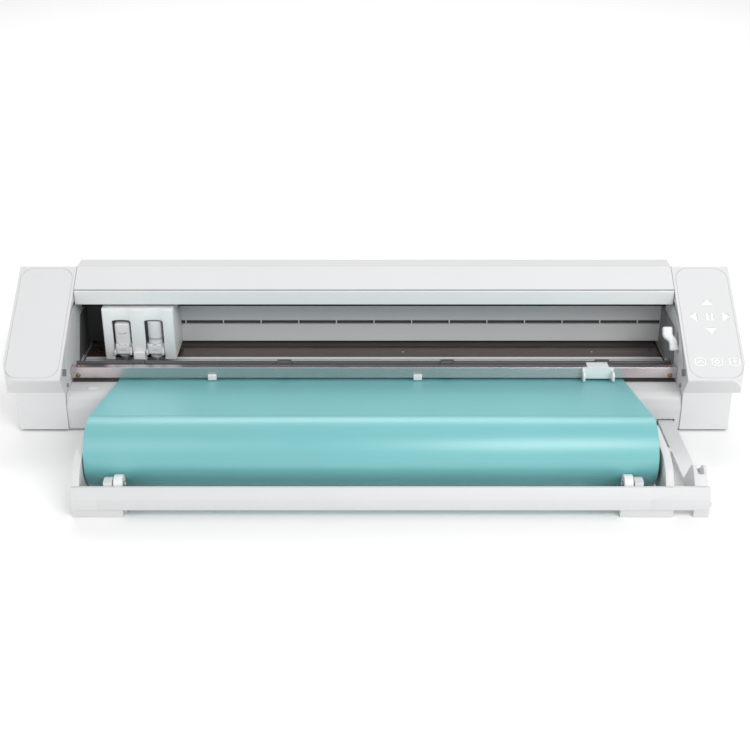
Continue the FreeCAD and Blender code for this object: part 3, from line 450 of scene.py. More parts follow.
def cardFinish():
    finish = Finish("coreCard", {"IOR": 1.4})
    fibre = finish.noise(1, 5, finish.stretched(120, 900, 900))
    turns = finish.node(
        "ShaderNodeTexWave", {"bands_direction": "DIAGONAL"}, {"Vector": finish.spot, "Scale": 9.0}, "Fac",
    )
    base = finish.mix(fibre, (0.28, 0.18, 0.10), (0.46, 0.33, 0.21))
    base = finish.mix((turns > 0.97) * 0.5, base, (0.14, 0.09, 0.05))
    finish.feed("Base Color", base)
    finish.feed("Roughness", 0.8 + (fibre - 0.5) * 0.2)
    finish.bump(fibre, 0.4, 0.0003)
    return finish


def woundCopper():
    finish = Finish("woundCopper", {"Metallic": 0.9})
    z = finish.axis("Z")
    wire = finish.node("ShaderNodeMath", {"operation": "SINE"}, {0: z * 15000}) * 0.5 + 0.5
    finish.feed("Base Color", finish.mix(wire, (0.20, 0.07, 0.03), (0.55, 0.24, 0.12)))
    finish.feed("Roughness", 0.25 + wire * 0.1)
    finish.bump(wire, 0.6, 0.0003)
    return finish


def motorFinish():
    finish = Finish("motorStack", {"IOR": 1.5})
    x, z = finish.axis("X"), finish.axis("Z")
    left = x < 0
    along = z * 12000 * left + x * 12000 * (1 - left)
    sheets = finish.node("ShaderNodeMath", {"operation": "SINE"}, {0: along})
    cloud = finish.noise(40, 3)
    finish.feed("Base Color", finish.mix(sheets * 0.3 + cloud, (0.015, 0.015, 0.016), (0.06, 0.06, 0.062)))
    finish.feed("Roughness", 0.35 + cloud * 0.2)
    finish.bump(sheets, 0.2, 0.0002)
    return finish


def paintShadeWhere(finish, mask, colour):  # paints shade onto part of a finish as a second, darker colour
    base = Flow(finish, finish.shader.inputs["Base Color"].links[0].from_socket)
    finish.feed("Base Color", finish.mix(mask, base, colour))


paintShadeWhere(deckWhite, deckWhite.axis("Y") > 0.0268, (0.10, 0.095, 0.09))  # painted shade: the deck is darkened from the trough under the rail backwards
height = beamGrey.axis("Z")
slotShadeMask = (height > 0.0775) * (height < 0.0825) * (beamGrey.axis("Y") > 0.1312)
paintShadeWhere(beamGrey, slotShadeMask, (0.06, 0.06, 0.062))  # painted shade on the floor of the ribbed slot
stripGrey, platenBrown, rollerSteel, boardGreen = stripFinish(), platenFinish(), knurledSteel(), boardFinish()
coreCard, coilCopper, motorStack = cardFinish(), woundCopper(), motorFinish()
nodeFinishes = {
    "left_pod_housing": shellWhite, "right_pod_housing": shellWhite,
    "left_top_panel": panelWhite, "right_touch_panel": panelWhite,
    "base_deck": deckWhite, "bottom_plate": plateGrey, "rubber_feet": footRubber,
    "crossbar_rail": railPink, "cutting_strip": stripGrey, "cutting_inlay": stripGrey,
    "platen": platenBrown, "gantry_beam": beamGrey, "guide_rail": groundSteel,
    "top_cover": lidWhite, "rear_cover": roofGrey, "roller_bushes": bronze,
    "feed_belt": beltRubber, "timing_belt": beltRubber, "stepper_motors": motorStack,
    "pulley_brackets": pressedSteel, "circuit_boards": boardGreen, "rear_sockets": socketBlack,
    "lid_panel": lidWhite, "lid_lip": lidWhite, "drive_roller": rollerSteel,
    "feed_motor_pulley": turnedMetal, "pinch_shaft": darkGrey, "pinch_arms": darkGrey,
    "pinch_rollers": pinchRubber, "carriage_frame": pressedSteel, "slide_block": greyAndRecessShade,
    "tool_guide_rods": groundSteel, "mark_sensor": clipWhite, "lift_coils": coilCopper,
    "left_blade_tip": groundSteel, "motor_pulley": turnedMetal, "idler_pulley": turnedMetal,
    "drawer_rear_bar": drawerWhite, "drawer_arms": drawerWhite, "roll_stands": drawerWhite,
    "right_end_bracket": drawerWhite, "end_plates": drawerWhite, "drawer_front_beam": drawerWhite,
    "small_media_clips": clipWhite, "media_guide": clipWhite, "touch_icons": panelWhite,
    "screws": copperPlate, "roller_lever": clipWhite, "carriage_cover": carriageWhite,
    "left_tool_holder": toolWhite, "right_tool_holder": toolWhite, "left_tool_latch": toolWhite,
    "right_tool_latch": toolWhite, "left_blade_housing": toolWhite, "right_tool_body": toolWhite,
    "front_roll_wheels": clipWhite, "rear_roll_wheels": clipWhite, "vinyl_web": shellWhite,
    "vinyl_roll": shellWhite, "roll_core": coreCard,
}
for name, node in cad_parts.items():
    node.data.materials.clear()
    node.data.materials.append(nodeFinishes[name].material)
print("finishes made")


# Camera, light and floor.
camera = {"place": (0, -1294.3, 701.5), "tilt": 64.0, "lens": 58.56, "shift": 0.00133}
bpy.ops.object.camera_add(location=at(*camera["place"]), rotation=(math.radians(camera["tilt"]), 0, 0))
view = bpy.context.object
view.name = "viewCamera"
view.data.lens = camera["lens"]
view.data.sensor_width = 36
view.data.shift_x = camera["shift"]
bpy.context.scene.camera = view
bpy.context.scene.view_settings.view_transform = "Standard"

studio = {
    "sky": 0.64,
    "lamps": [
        # name, place, aims at, wide, deep, power
        ("keyLamp", (1000, -1450, 1550), (0, 40, 60), 1300, 1000, 21),
        ("fillLamp", (-1300, -1300, 1300), (0, -50, 60), 1200, 1200, 5),
        ("backLamp", (0, 1400, 1250), (0, -130, 80), 2600, 800, 11),
        ("sweepLamp", (0, 2400, 1900), (0, 2600, 0), 3600, 1600, 26),
    ],
}
world = bpy.data.worlds.new("softSky")
world.use_nodes = True
world.node_tree.nodes["Background"].inputs["Color"].default_value = (1, 1, 1, 1)
world.node_tree.nodes["Background"].inputs["Strength"].default_value = studio["sky"]
bpy.context.scene.world = world
for name, place, target, wide, deep, power in studio["lamps"]:
    aim = (at(*target) - at(*place)).to_track_quat("-Z", "Y").to_euler()
    bpy.ops.object.light_add(type="AREA", location=at(*place), rotation=aim)
    lamp = bpy.context.object
    lamp.name = name
    lamp.data.shape = "RECTANGLE"
    lamp.data.size = wide * mm
    lamp.data.size_y = deep * mm
    lamp.data.energy = power
deselectAll()
bpy.ops.mesh.primitive_plane_add(size=16, location=(0, 2, -0.0002))
floor = settle("studioFloor")
floorFinish = Finish("paleFloor", {"Roughness": 0.9})
floorFinish.feed("Base Color", floorFinish.tint((0.97, 0.97, 0.97), floorFinish.noise(0.6, 2), 0.004))
floor.data.materials.append(floorFinish.material)
print("studio ready")


# Vinyl roll, its core and the web.
roll = {
    "middle": (-3, -136.7, 44.5), "wide": 610, "outer": 38.85, "core": 28.6, "bore": 25.4,
    "webFall": 0.2196, "webThick": 0.14, "webLevel": 48.5, "webAnchor": 30, "webMiddle": 45, "webEnd": 64,
    "webClear": 0.06, "webShift": 0.3, "webTrim": 0.4, "webSteps": 24, "bend": 8, "bendSteps": 8,
}
x, y, z = roll["middle"]
rollFilm = filmFinish("rollFilm", [c * mm for c in roll["middle"]], roll["wide"] / 2 * mm)
webFilm = filmFinish("webFilm")
vinyl = ring("vinylRoll", roll["outer"], roll["core"], roll["wide"], roll["middle"], "X", 256)
bevelEdges(vinyl, 0.4, 2, lambda middle, run: abs(abs(middle.x - x) - roll["wide"] / 2) < 0.01)
done(vinyl, "vinyl_roll", rollFilm, "vinyl_teal", "vinyl_roll")
core = ring("rollCore", roll["core"] - 0.05, roll["bore"], roll["wide"] + 1.6, roll["middle"], "X", 128)
bevelEdges(core, 0.3, 2, lambda middle, run: abs(abs(middle.x - x) - roll["wide"] / 2 - 0.8) < 0.01)
done(core, "vinyl_roll", coreCard, "core_card", "roll_core")


def webStrip(name, path):  # the film as a thin closed strip through (Y, Z) points of its upper face
    deselectAll()
    bpy.ops.mesh.primitive_grid_add(x_subdivisions=60, y_subdivisions=len(path) - 1, size=1)
    strip = settle(name)
    columns = sorted({round(v.co.y, 6) for v in strip.data.vertices})
    for vert in strip.data.vertices:
        row = min(range(len(columns)), key=lambda i: abs(columns[i] - vert.co.y))
        across = x - roll["webShift"] + vert.co.x * (roll["wide"] - roll["webTrim"])
        vert.co = at(across, *path[row])
    modify(strip, "SOLIDIFY", thickness=roll["webThick"] * mm, offset=-1)
    return strip


fall, bend = roll["webFall"], roll["bend"]
lean = math.atan(fall)
reach = roll["outer"] + roll["webClear"]
startY = y + reach * math.sin(lean)
startZ = z + (reach + roll["webThick"]) * math.cos(lean)
levelY = startY + (startZ - roll["webLevel"]) / fall
path = []
for k in range(roll["webSteps"] + 1):
    run = (levelY - bend - startY) * k / roll["webSteps"]
    path.append((startY + run, startZ - run * fall))
for k in range(1, roll["bendSteps"] + 1):  # a smooth bend where the film levels out
    share = k / roll["bendSteps"]
    path.append((levelY + bend * (2 * share - 1), roll["webLevel"] + fall * bend * (1 - share) ** 2))
path = [place for place in path if place[0] < roll["webAnchor"]]
web = webStrip("vinylWeb", path + [(roll["webAnchor"], roll["webLevel"])])
done(web, "root", webFilm, "vinyl_teal", "vinyl_web")
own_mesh(web)
places = (roll["webAnchor"] + 0.02, roll["webMiddle"], roll["webEnd"])
nip = webStrip("webUnderRail", [(place, roll["webLevel"]) for place in places])
done(nip, "root", webFilm, "vinyl_teal")
print("roll and web made")

# End pods: the touch marks, the small recesses of the inner walls in painted shade, and dark sheets of
# painted shade in the bay.
slope = {"front": -25.3, "level": 74.2, "angle": 33.29}
marks = {
    "arrowPoints": [(4.9, 0), (-3.3, 6.1), (-3.3, -6.1)], "arrowThick": 0.35, "proud": 0.06,
    "frame": 12.4, "line": 0.9, "corner": 2.6,
    "arrows": [(401.6, 108.9, 90), (382.6, 88.5, 180), (420.6, 88.5, 0), (401.2, 68.6, 270)],
    "pause": (401.8, 88.5), "keys": [(382.3, 25.6), (402.0, 25.6), (422.3, 25.6)],
}


def ontoSlope(piece, across, along):  # lays a flat mark made at the origin onto the right pod's slope
    lean = math.radians(slope["angle"])
    back = slope["front"] + along * math.cos(lean)
    height = slope["level"] + along * math.sin(lean)
    piece.data.transform(Matrix.Translation(at(across, back, height)) @ Matrix.Rotation(lean, 4, "X"))
    return piece


glyphs = []
low, high = -marks["arrowThick"], marks["proud"]
for across, along, turn in marks["arrows"]:
    c, s = math.cos(math.radians(turn)), math.sin(math.radians(turn))
    points = [(c * u - s * v, s * u + c * v) for u, v in marks["arrowPoints"]]
    glyph = outline("arrow", points, "Z", low, high)
    bevelEdges(glyph, 0.7, 4, lambda middle, run: abs(run.z) > 0.9)
    glyphs.append(ontoSlope(glyph, across, along))
for side in (-2.9, 2.9):
    bar = block("pauseBar", (side - 1.2, -5, low), (side + 1.2, 5, high))
    bevelEdges(bar, 0.4, 3, lambda middle, run: abs(run.z) > 0.9)
    glyphs.append(ontoSlope(bar, *marks["pause"]))
half, line = marks["frame"] / 2, marks["line"]
for number, (across, along) in enumerate(marks["keys"]):
    frameMark = block("keyFrame", (-half, -half * 0.9, low), (half, half * 0.9, high))
    bevelEdges(frameMark, marks["corner"], 5, lambda middle, run: abs(run.z) > 0.9)
    inner = block("keyHole", (line - half, line - half * 0.9, -2), (half - line, half * 0.9 - line, 2))
    bevelEdges(inner, marks["corner"] - line, 5, lambda middle, run: abs(run.z) > 0.9)
    combine(frameMark, inner)
    glyphs.append(ontoSlope(frameMark, across, along))
    if number == 0:  # a small arch
        sign = ring("keySign", 3.2, 2.3, high - low, (0, -1.6, (low + high) / 2), "Z", 40)
        combine(sign, block("cutter", (-5, -8, -3), (5, -1.6, 3)))
    elif number == 1:  # a roll seen from its end
        sign = ring("keySign", 2.9, 1.9, high - low, (0, 0, (low + high) / 2), "Z", 40)
    else:  # a slider
        bar = block("bar", (-0.4, -3.2, low), (0.4, 3.2, high))
        sign = merge("keySign", bar, block("knob", (-1.9, -0.4, low), (1.9, 1.1, high)))
    glyphs.append(ontoSlope(sign, across, along))
touchMarks = merge("touchMarks", *glyphs)
glow = Finish("markGlow", {"IOR": 1.45, "Emission Strength": 0.12, "Emission Color": (1, 1, 1, 1)})
glow.feed("Base Color", glow.tint((0.93, 0.93, 0.93), glow.noise(60, 2), 0.03))
glow.feed("Roughness", glow.noise(300, 2) * 0.1 + 0.25)
done(touchMarks, "root", glow, "icon_white", "touch_icons")

# painted shade: thin grey plates on the inner walls stand for the shade inside the small recesses
recesses = {
    "inner": 365, "thick": 0.5,
    "spots": [(-2.0, 72.8, 17.5, 8.5, -26), (6.0, 52.4, 7.5, 5.0, -26)],  # Y, Z, long, tall, lean
}
patches = []
for side in (-1, 1):
    x0, thick = side * recesses["inner"], recesses["thick"]
    for y0, z0, long, tall, leanDegrees in recesses["spots"]:
        low = (x0 - thick, y0 - long / 2, z0 - tall / 2)
        patch = block("patch", low, (x0 + thick, y0 + long / 2, z0 + tall / 2))
        bevelEdges(patch, 1.2, 4, lambda middle, run: abs(run.x) > 0.9)
        select(patch, "FACE", lambda middle, normal: normal.x * side < -0.9)
        bpy.ops.mesh.inset(thickness=0.6 * mm, depth=-0.3 * mm)
        leave()
        patches.append(turned(patch, leanDegrees, "X", (0, y0, z0)))
done(merge("wallRecesses", *patches), "root", greyAndRecessShade, "shell_white")

# painted shade: thin dark sheets on the left back wall and on both inner walls, where the pods and the
# carriage cast shade
shadeSheets = {
    "wall": 364.4, "thick": 0.5, "low": 49.2, "high": 104, "step": 52.5, "back": 130.5, "dockRight": -333.0,
    "left": [(72, 52.5), (97, 52.5), (97, 49.2), (129.5, 49.2), (129.5, 104), (98, 104)],
    "right": [(44, 52.5), (89, 52.5), (89, 49.2), (130, 49.2), (130, 104), (63, 104)],
    "shaft": (60, 56), "shaftRoom": 5,
}
x0 = -shadeSheets["wall"]
dockBack = block(
    "dockBack", (x0, shadeSheets["back"] - shadeSheets["thick"], shadeSheets["low"] + 5),
    (shadeSheets["dockRight"], shadeSheets["back"], shadeSheets["high"]),
)
dock = merge("dockShadeSheet", dockBack, outline("dockSide", shadeSheets["left"], "X", x0, x0 + shadeSheets["thick"]))
done(soften(dock, 0.15, 2), "root", shadeSheetBlack, "beam_dark")
side = outline("sideShadeSheet", shadeSheets["right"], "X", -x0 - shadeSheets["thick"], -x0)
combine(side, rod("shaftHole", shadeSheets["shaftRoom"], 6, (-x0, *shadeSheets["shaft"]), "X", 40))
done(soften(side, 0.15, 2), "root", shadeSheetGrey, "beam_dark")
print("pod details made")


# Fixing screws, clips and the media guide.
screws = {
    "head": 2.8, "tall": 1.9, "slot": 0.55, "depth": 0.8, "reach": 0.62, "round": 0.42, "turn": 20,
    "rail": [
        (-356, 30.5, 66.1, "Z"), (356, 30.5, 66.1, "Z"), (-356.5, 26, 55.6, "Y"), (356.5, 26, 55.6, "Y"),
    ],
    "platen": [(-350, 114, 47.6, "Z"), (350, 114, 47.6, "Z")],
    "floor": [(x0, y0, 2.5, "under") for x0 in (-412, -280, 280, 412) for y0 in (40, 150)],
}


def screwHead(place, facing, radius, tall):
    head = rod("head", radius, tall, (0, 0, tall / 2), "Z", 32)
    bevelEdges(head, radius * screws["round"], 5, lambda middle, run: abs(middle.z - tall) < 0.01)
    reach, half = radius * screws["reach"], screws["slot"] / 2
    for turn in (0, 90):
        cross = block("cross", (-reach, -half, tall - screws["depth"]), (reach, half, tall + 1))
        combine(head, turned(cross, turn + screws["turn"], "Z", (0, 0, 0)))
    facings = {
        "Z": Matrix(), "Y": Matrix.Rotation(math.pi / 2, 4, "X"), "under": Matrix.Rotation(math.pi, 4, "X"),
    }
    head.data.transform(Matrix.Translation(at(*place)) @ facings[facing])
    return head


heads = [screwHead(spot[:3], spot[3], screws["head"], screws["tall"]) for spot in screws["rail"]]
heads += [screwHead(spot[:3], spot[3], 2.5, 1.2) for spot in screws["platen"]]
heads += [screwHead(spot[:3], spot[3], 2.5, 1.0) for spot in screws["floor"]]
done(merge("fixingScrews", *heads), "root", copperPlate, "screw_copper", "screws")

clips = {"lefts": (-199.9, 47.4), "wide": 10.4, "front": 22.2, "deep": 3.7, "low": 50.4, "tall": 7.4}
made = []
for left in clips["lefts"]:
    right, front, back = left + clips["wide"], clips["front"], clips["front"] + clips["deep"]
    clip = block("clip", (left, front, clips["low"]), (right, back, clips["low"] + clips["tall"]))
    bevelEdges(clip, 1.1, 4, lambda middle, run: True)
    groove = rod("groove", 0.55, 12, ((left + right) / 2, front, clips["low"] + clips["tall"] / 2), "Z", 24)
    combine(clip, groove)
    made.append(clip)
done(merge("mediaClips", *made), "root", clipWhite, "clip_white", "small_media_clips")

guide = {
    "left": 250.2, "wide": 37.4, "flange": 2.4,
    "flangeCorners": [(13, 54), (13, 60.5), (16, 63.6), (25.7, 63.6), (25.7, 52.8), (14.2, 52.8)],
}
left, right = guide["left"], guide["left"] + guide["wide"]
parts = [
    block("plate", (left, 23.7, 52.6), (right, 25.7, 67)),
    block("hook", (left + 6, 23.7, 66.4), (right - 6, 35.5, 68)),
    block("heel", (left + 6, 35.3, 61), (right - 6, 36.9, 68)),
]
for x0 in (left, right - guide["flange"]):
    parts.append(outline("flange", guide["flangeCorners"], "X", x0, x0 + guide["flange"]))
mediaGuide = parts[0]
for part in parts[1:]:
    combine(mediaGuide, part, "UNION")
mediaGuide.name = mediaGuide.data.name = "mediaGuide"
soften(mediaGuide, 0.45, 3)
done(mediaGuide, "media_guide", clipWhite, "clip_white", "media_guide")
print("screws, clips and guide made")


# Carriage and its two tools.
cover = {
    "low": (-331.8, 72, 55.5), "high": (-244.8, 130, 122.3), "wall": 2.5, "header": 9, "roof": 1.6,
    "windowWide": 22.9, "windowTop": 107.6, "tools": (-308.8, -269.4),
    "scoopRadius": 24.4, "scoopBack": 22, "scoopTilt": -6,
}
(x0, y0, z0), (x1, y1, z1), wall = cover["low"], cover["high"], cover["wall"]
carriageCover = block("carriageCover", cover["low"], cover["high"])
bevelEdges(
    carriageCover, 1.8, 4,
    lambda middle, run: middle.y < y0 + 1 and (abs(run.z) > 0.9 or middle.z > z1 - 0.1),
)
hollows = [
    # front, low, top
    (y0 + wall, z0 - 5, cover["windowTop"] + 0.5),
    (y0 + cover["header"], z0, z1 - cover["roof"]),
]
for front, low, top in hollows:
    combine(carriageCover, block("hollow", (x0 + wall, front, low), (x1 - wall, y1 + 5, top)))
combine(carriageCover, block("beltNotch", (x0 - 1, 114, 105), (x1 + 1, 144, 119.4)))
for middle in cover["tools"]:
    half = cover["windowWide"] / 2
    low = (middle - half, y0 - 3, z0 - 6)
    window = block("window", low, (middle + half, y0 + wall + 3, cover["windowTop"]))
    bevelEdges(window, 2.2, 5, lambda centre, run: abs(run.y) > 0.9 and centre.z > 100)
    combine(carriageCover, window)
    scoopY = y0 - cover["scoopBack"]
    scoop = rod("scoop", cover["scoopRadius"], 60, (middle, scoopY, 137), "Z", 192)
    combine(carriageCover, turned(scoop, cover["scoopTilt"], "X", (middle, scoopY, 110)))
soften(carriageCover, 0.35, 2, 40)
done(carriageCover, "carriage", carriageWhite, "carriage_white", "carriage_cover")

sensor = block("markSensor", (-296.2, 66.5, 51.4), (-282.0, 71.8, 67.4))
bevelEdges(sensor, 1.6, 4, lambda middle, run: abs(run.z) > 0.9 or middle.z > 67)
select(sensor, "FACE", lambda middle, normal: normal.z < -0.9)
bpy.ops.mesh.inset(thickness=1.2 * mm, depth=-0.6 * mm)
leave()
done(sensor, "carriage", clipWhite, "sensor_white", "mark_sensor")

tool = {"back": 81, "across": -308.8, "half": 9.2, "low": 75.3, "high": 103.3, "shank": 8.15}
x0, y0, half = tool["across"], tool["back"], tool["half"]
housing = block("leftBladeHousing", (x0 - half, y0 - half, tool["low"]), (x0 + half, y0 + half, tool["high"]))
bevelEdges(housing, 4.2, 6, lambda middle, run: abs(run.z) > 0.9)
bevelEdges(housing, 2.6, 5, lambda middle, run: middle.z > tool["high"] - 0.1)
smile = ring("smile", 9.0, 8.2, 6, (x0, y0 - half, 98.2), "Y", 64)
combine(smile, block("cutter", (x0 - 12, y0 - 20, 91.4), (x0 + 12, y0, 120)))
combine(housing, smile)
for side in (-1, 1):
    combine(housing, rod("dot", 0.55, 2, (x0 + side * 3.1, y0 - half, 85.6), "Y", 20))
combine(housing, block("seam", (x0 - 12, y0 - half - 1, 78.9), (x0 + 12, y0 - half + 0.5, 79.3)))
shank = rod("shank", tool["shank"], 16, (x0, y0, 67.5), "Z", 48)
nose = rod("nose", tool["shank"], 4, (x0, y0, 57.5), "Z", 48)
select(nose, "FACE", lambda middle, normal: normal.z < -0.9)
bpy.ops.transform.resize(value=(0.55, 0.55, 1), center_override=at(x0, y0, 55.5))
leave()
housing = merge("leftBladeHousing", housing, shank, nose)
done(housing, "left_tool", toolWhite, "tool_grey", "left_blade_housing")

rightX = -269.4
barrel = rod("barrel", 9.2, 29.8, (rightX, y0, 90.4), "Z", 96)
bevelEdges(barrel, 1.0, 4, lambda middle, run: middle.z > 105)
for level in (80.5, 82.0, 83.5):  # fine grip lines
    combine(barrel, ring("line", 10.5, 8.95, 0.5, (rightX, y0, level), "Z", 96))
shank = rod("shank", tool["shank"], 18, (rightX, y0, 66.5), "Z", 48)
nose = rod("nose", 3.4, 7, (rightX, y0, 54), "Z", 32)
select(nose, "FACE", lambda middle, normal: normal.z < -0.9)
bpy.ops.transform.resize(value=(0.18, 0.18, 1), center_override=at(rightX, y0, 50.5))
leave()
done(merge("rightToolBody", barrel, shank, nose), "right_tool", toolWhite, "tool_steel", "right_tool_body")


clamp = {
    "pin": (68.8, 66.5), "pinRadius": 1.2, "pinLong": 21.2, "half": 10.6, "low": 63, "high": 75,
    "bore": 8.2, "guideBore": 2.25, "guideBack": 92.6, "earMiddle": 9.55, "earHalf": 1.05, "earHigh": 69,
}


def clampRing(name, across):
    low, high, half, earHalf = clamp["low"], clamp["high"], clamp["half"], clamp["earHalf"]
    level = (low + high) / 2
    body = block(name, (across - half, y0 - 9.8, low), (across + half, y0 + 11, high))
    bevelEdges(body, 3.0, 5, lambda middle, run: abs(run.z) > 0.9)
    tongue = block("tongue", (across - 5, y0 + 6, low), (across + 5, y0 + 15.4, high))
    combine(body, tongue, "UNION")
    combine(body, rod("bore", clamp["bore"], 30, (across, y0, level), "Z", 64))
    combine(body, rod("guideBore", clamp["guideBore"], 30, (across, clamp["guideBack"], level), "Z", 32))
    for side in (-1, 1):  # a step at each shoulder and an ear for the latch's pin
        step = block("step", (across + side * 8.2 - 3, y0 - 11, 71.5), (across + side * 8.2 + 3, y0 - 5, 76))
        combine(body, step)
        place = across + side * clamp["earMiddle"]
        ear = block("ear", (place - earHalf, y0 - 14.6, low), (place + earHalf, y0 - 6, clamp["earHigh"]))
        bevelEdges(ear, 1.8, 4, lambda middle, run: abs(run.x) > 0.9 and middle.y < y0 - 12)
        combine(body, ear, "UNION")
    combine(body, rod("pinHole", 1.25, 30, (across, *clamp["pin"]), "X", 24))
    return soften(body, 0.3, 2)


def latchTab(name, across, lipWide):
    tab = block(name, (across - 8, y0 - 14.2, 64.5), (across + 8, y0 - 10.2, 77.5))
    bevelEdges(tab, 1.6, 4, lambda middle, run: abs(run.x) > 0.9)
    bevelEdges(tab, 1.2, 3, lambda middle, run: abs(run.z) > 0.7)
    notch = block("notch", (across - lipWide, y0 - 16, 74.6), (across + lipWide, y0 - 9, 79))
    combine(tab, notch)
    slot = block("slot", (across - 3.6, y0 - 15, 67.6), (across + 3.6, y0 - 13.6, 69.4))
    bevelEdges(slot, 0.8, 4, lambda middle, run: abs(run.y) > 0.9)
    combine(tab, slot)
    soften(tab, 0.3, 2)
    pin = rod("pin", clamp["pinRadius"], clamp["pinLong"], (across, *clamp["pin"]), "X", 24)
    return merge(name, tab, pin)


for side, across, lip in (("left", tool["across"], 5.2), ("right", rightX, 2.4)):
    holder = clampRing(side + "ToolHolder", across)
    done(holder, side + "_tool", toolWhite, "tool_grey", side + "_tool_holder")
    latch = latchTab(side + "ToolLatch", across, lip)
    done(latch, side + "_latch", toolWhite, "tool_grey", side + "_tool_latch")
print("carriage made")


# Roller lever.
lever = {"pivot": (70, 76), "reach": 36.5, "angle": 71, "thick": 7.5, "lean": -32}
stemY = lever["pivot"][0] - lever["reach"] * math.sin(math.radians(lever["angle"]))
stemZ = lever["pivot"][1] + lever["reach"] * math.cos(math.radians(lever["angle"]))
handle = outline("rollerLever", [
    (354.5, 0.4), (364.2, 0.4), (364.2, 12), (362.5, 15), (359.5, 18), (358.3, 21), (358.3, 29.3),
    (346.7, 29.3), (346.7, 20), (347.8, 16.6), (350.2, 14.4), (353.4, 12.0), (354.5, 8.8),
], "Y", -lever["thick"], 0)
modify(handle, "BEVEL", width=2.0 * mm, segments=4, limit_method="ANGLE", angle_limit=math.radians(50))
grip = Matrix.Translation(at(0, stemY + 1.1, stemZ - 5.4))
handle.data.transform(grip @ Matrix.Rotation(math.radians(lever["lean"]), 4, "X"))
neck = rod("neck", 3.4, 8, (366, stemY, stemZ), "X", 32)
arm = outline("arm", [
    (74, 69), (74, 83), (stemY - 3.5, stemZ + 4.5), (stemY - 3.5, stemZ - 4.5),
], "X", 368.5, 372)
bevelEdges(arm, 2.5, 4, lambda middle, run: abs(run.x) > 0.9)
hub = rod("hub", 9, 3.5, (370.25, *lever["pivot"]), "X", 48)
for part in (neck, arm, hub):
    combine(handle, part, "UNION")
combine(handle, rod("bore", 3.05, 12, (370, *lever["pivot"]), "X", 32))
done(handle, "roller_lever", clipWhite, "lever_white", "roller_lever", smooth=50)
print("lever made")


# Drawer: front beam, end plates, bracket and wheels.
drawer = {
    "left": -318, "right": 353, "front": -203, "rear": -194.5, "wall": 2.2, "round": 0.5,
    "feet": [(-318, 53), (260, 56), (337.4, 15.6)],
}
x0, x1, front, rear = drawer["left"], drawer["right"], drawer["front"], drawer["rear"]
beam = outline("drawerFrontBeam", [
    (front, 9.5), (front, 22.5), (front + 6, 33.5), (rear, 34), (rear, 9.5),
], "X", x0, x1)
hollow = outline("hollow", [
    (front + 2.2, 11.7), (front + 2.2, 22), (front + 7.6, 31.8), (rear + 4, 31.8), (rear + 4, 11.7),
], "X", x0 + 2.5, x1 - 2.5)
combine(beam, hollow)
for start, wide in drawer["feet"]:
    foot = block("foot", (start, front + 1.4, 0), (start + wide, front + 8.3, 11))
    combine(beam, foot, "UNION")
for seam in (-290.0, 291.5):  # fine mould seams near the ends
    combine(beam, block("seam", (seam - 0.08, front - 2, 8), (seam + 0.08, front + 0.25, 23)))
soften(beam, drawer["round"], 3, 25)
done(beam, "drawer", drawerWhite, "drawer_white", "drawer_front_beam")

wing = {
    "thick": 8.5, "lefts": (-318, 306.5), "rear": -76, "pocketDepth": 1.2,
    "pocket": [(-184, 15), (-184, 42), (-168, 51), (-103, 52), (-82, 38), (-82, 15)],
}
points = [
    (rear, 10), (rear, 34.2), (front + 7, 34.2), (-186.5, 48.5), (-170, 57), (-100, 58),
    (wing["rear"], 42), (wing["rear"], 10),
]
wings = []
for side, start in zip((-1, 1), wing["lefts"]):
    plate = outline("endPlate", points, "X", start, start + wing["thick"])
    bevelEdges(plate, 9, 8, lambda middle, run: abs(run.x) > 0.9 and -171 < middle.y < -169)
    bevelEdges(plate, 4, 6, lambda middle, run: abs(run.x) > 0.9 and -187 < middle.y < -186)
    bevelEdges(plate, 12, 8, lambda middle, run: abs(run.x) > 0.9 and middle.y > -101 and middle.z > 40)
    outerX = start if side < 0 else start + wing["thick"]
    depth = wing["pocketDepth"]
    pocket = outline("pocket", wing["pocket"], "X", outerX - depth, outerX + depth)
    bevelEdges(pocket, 4, 5, lambda middle, run: abs(run.x) > 0.9)
    combine(plate, pocket)
    if side < 0:
        combine(plate, block("notch", (start - 1, front + 17, 38.5), (start + 2, front + 25, 41.5)))
    wings.append(soften(plate, 0.8, 3, 40))
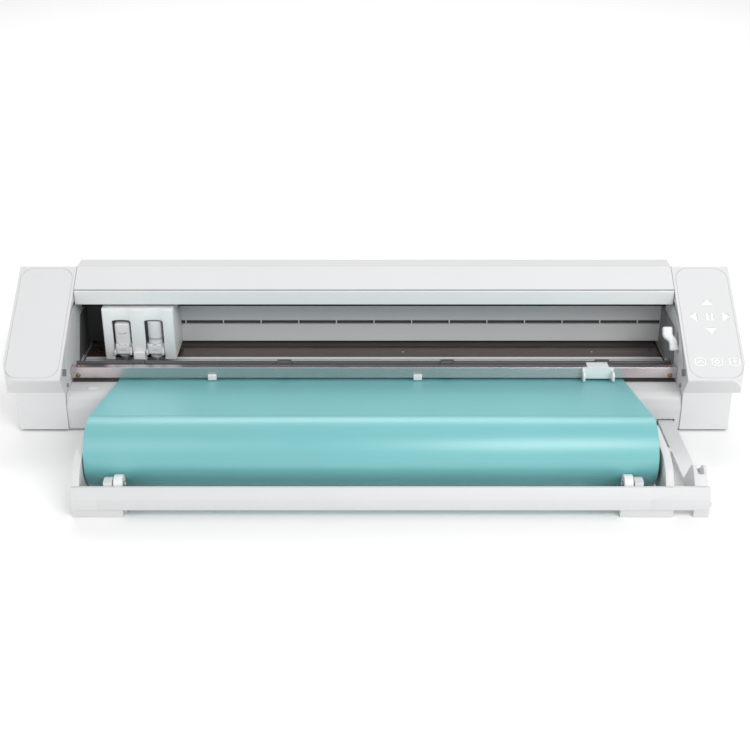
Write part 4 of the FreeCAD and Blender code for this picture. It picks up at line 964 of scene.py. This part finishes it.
done(merge("endPlates", *wings), "drawer", drawerWhite, "drawer_white", "end_plates")

bracket = outline("endBracket", [
    (rear, 14), (rear, 34.2), (front + 8, 34.2), (-184, 45.5), (-177, 49.5), (-171, 46), (-148, 14),
], "X", 337, 351)
combine(bracket, block("pocket", (341, -186, 36), (348, -166, 56)))
soften(bracket, 1.2, 4, 25)
done(bracket, "drawer", drawerWhite, "drawer_white", "right_end_bracket")

wheels = {
    "radius": 10, "bore": 2.05, "wide": 9.6, "lefts": (-274.6, 263.8), "front": (-183.6, 30.5),
    "rear": (-96.5, 16.7), "holes": 6, "holeRing": 5.5, "holeRadius": 1.1,
}


def rollWheel(left, place):
    middle = (left + wheels["wide"] / 2, *place)
    wheel = ring("wheel", wheels["radius"], wheels["bore"], wheels["wide"], middle, "X", 64)
    bevelEdges(
        wheel, 0.9, 4,
        lambda centre, run: (centre - Vector((centre.x, *place))).length > 9.5 and abs(run.x) < 0.1,
    )
    for side in (-1, 1):  # the dished faces
        x0 = middle[0] + side * wheels["wide"] / 2
        combine(wheel, ring("dish", 7.4, 3.6, 2.4, (x0, *place), "X", 48))
    for k in range(wheels["holes"]):  # holes through the web
        turn = math.radians(360 / wheels["holes"] * k + 15)
        back = place[0] + wheels["holeRing"] * math.cos(turn)
        height = place[1] + wheels["holeRing"] * math.sin(turn)
        combine(wheel, rod("hole", wheels["holeRadius"], 20, (middle[0], back, height), "X", 16))
    return wheel


for label in ("front", "rear"):
    pair = merge(label + "RollWheels", *[rollWheel(left, wheels[label]) for left in wheels["lefts"]])
    done(pair, label + "_wheels", clipWhite, "wheel_white", label + "_roll_wheels")
    caps = []
    for left in wheels["lefts"]:
        inward = left + wheels["wide"] if left < 0 else left
        cap = rod("cap", 3.2, 0.9, (inward + (0.35 if left < 0 else -0.35), *wheels[label]), "X", 32)
        bevelEdges(cap, 0.3, 3, lambda middle, run: abs(run.x) < 0.1)
        caps.append(cap)
    done(merge(label + "WheelCaps", *caps), "drawer", darkGrey, "beam_dark")
print("drawer made")
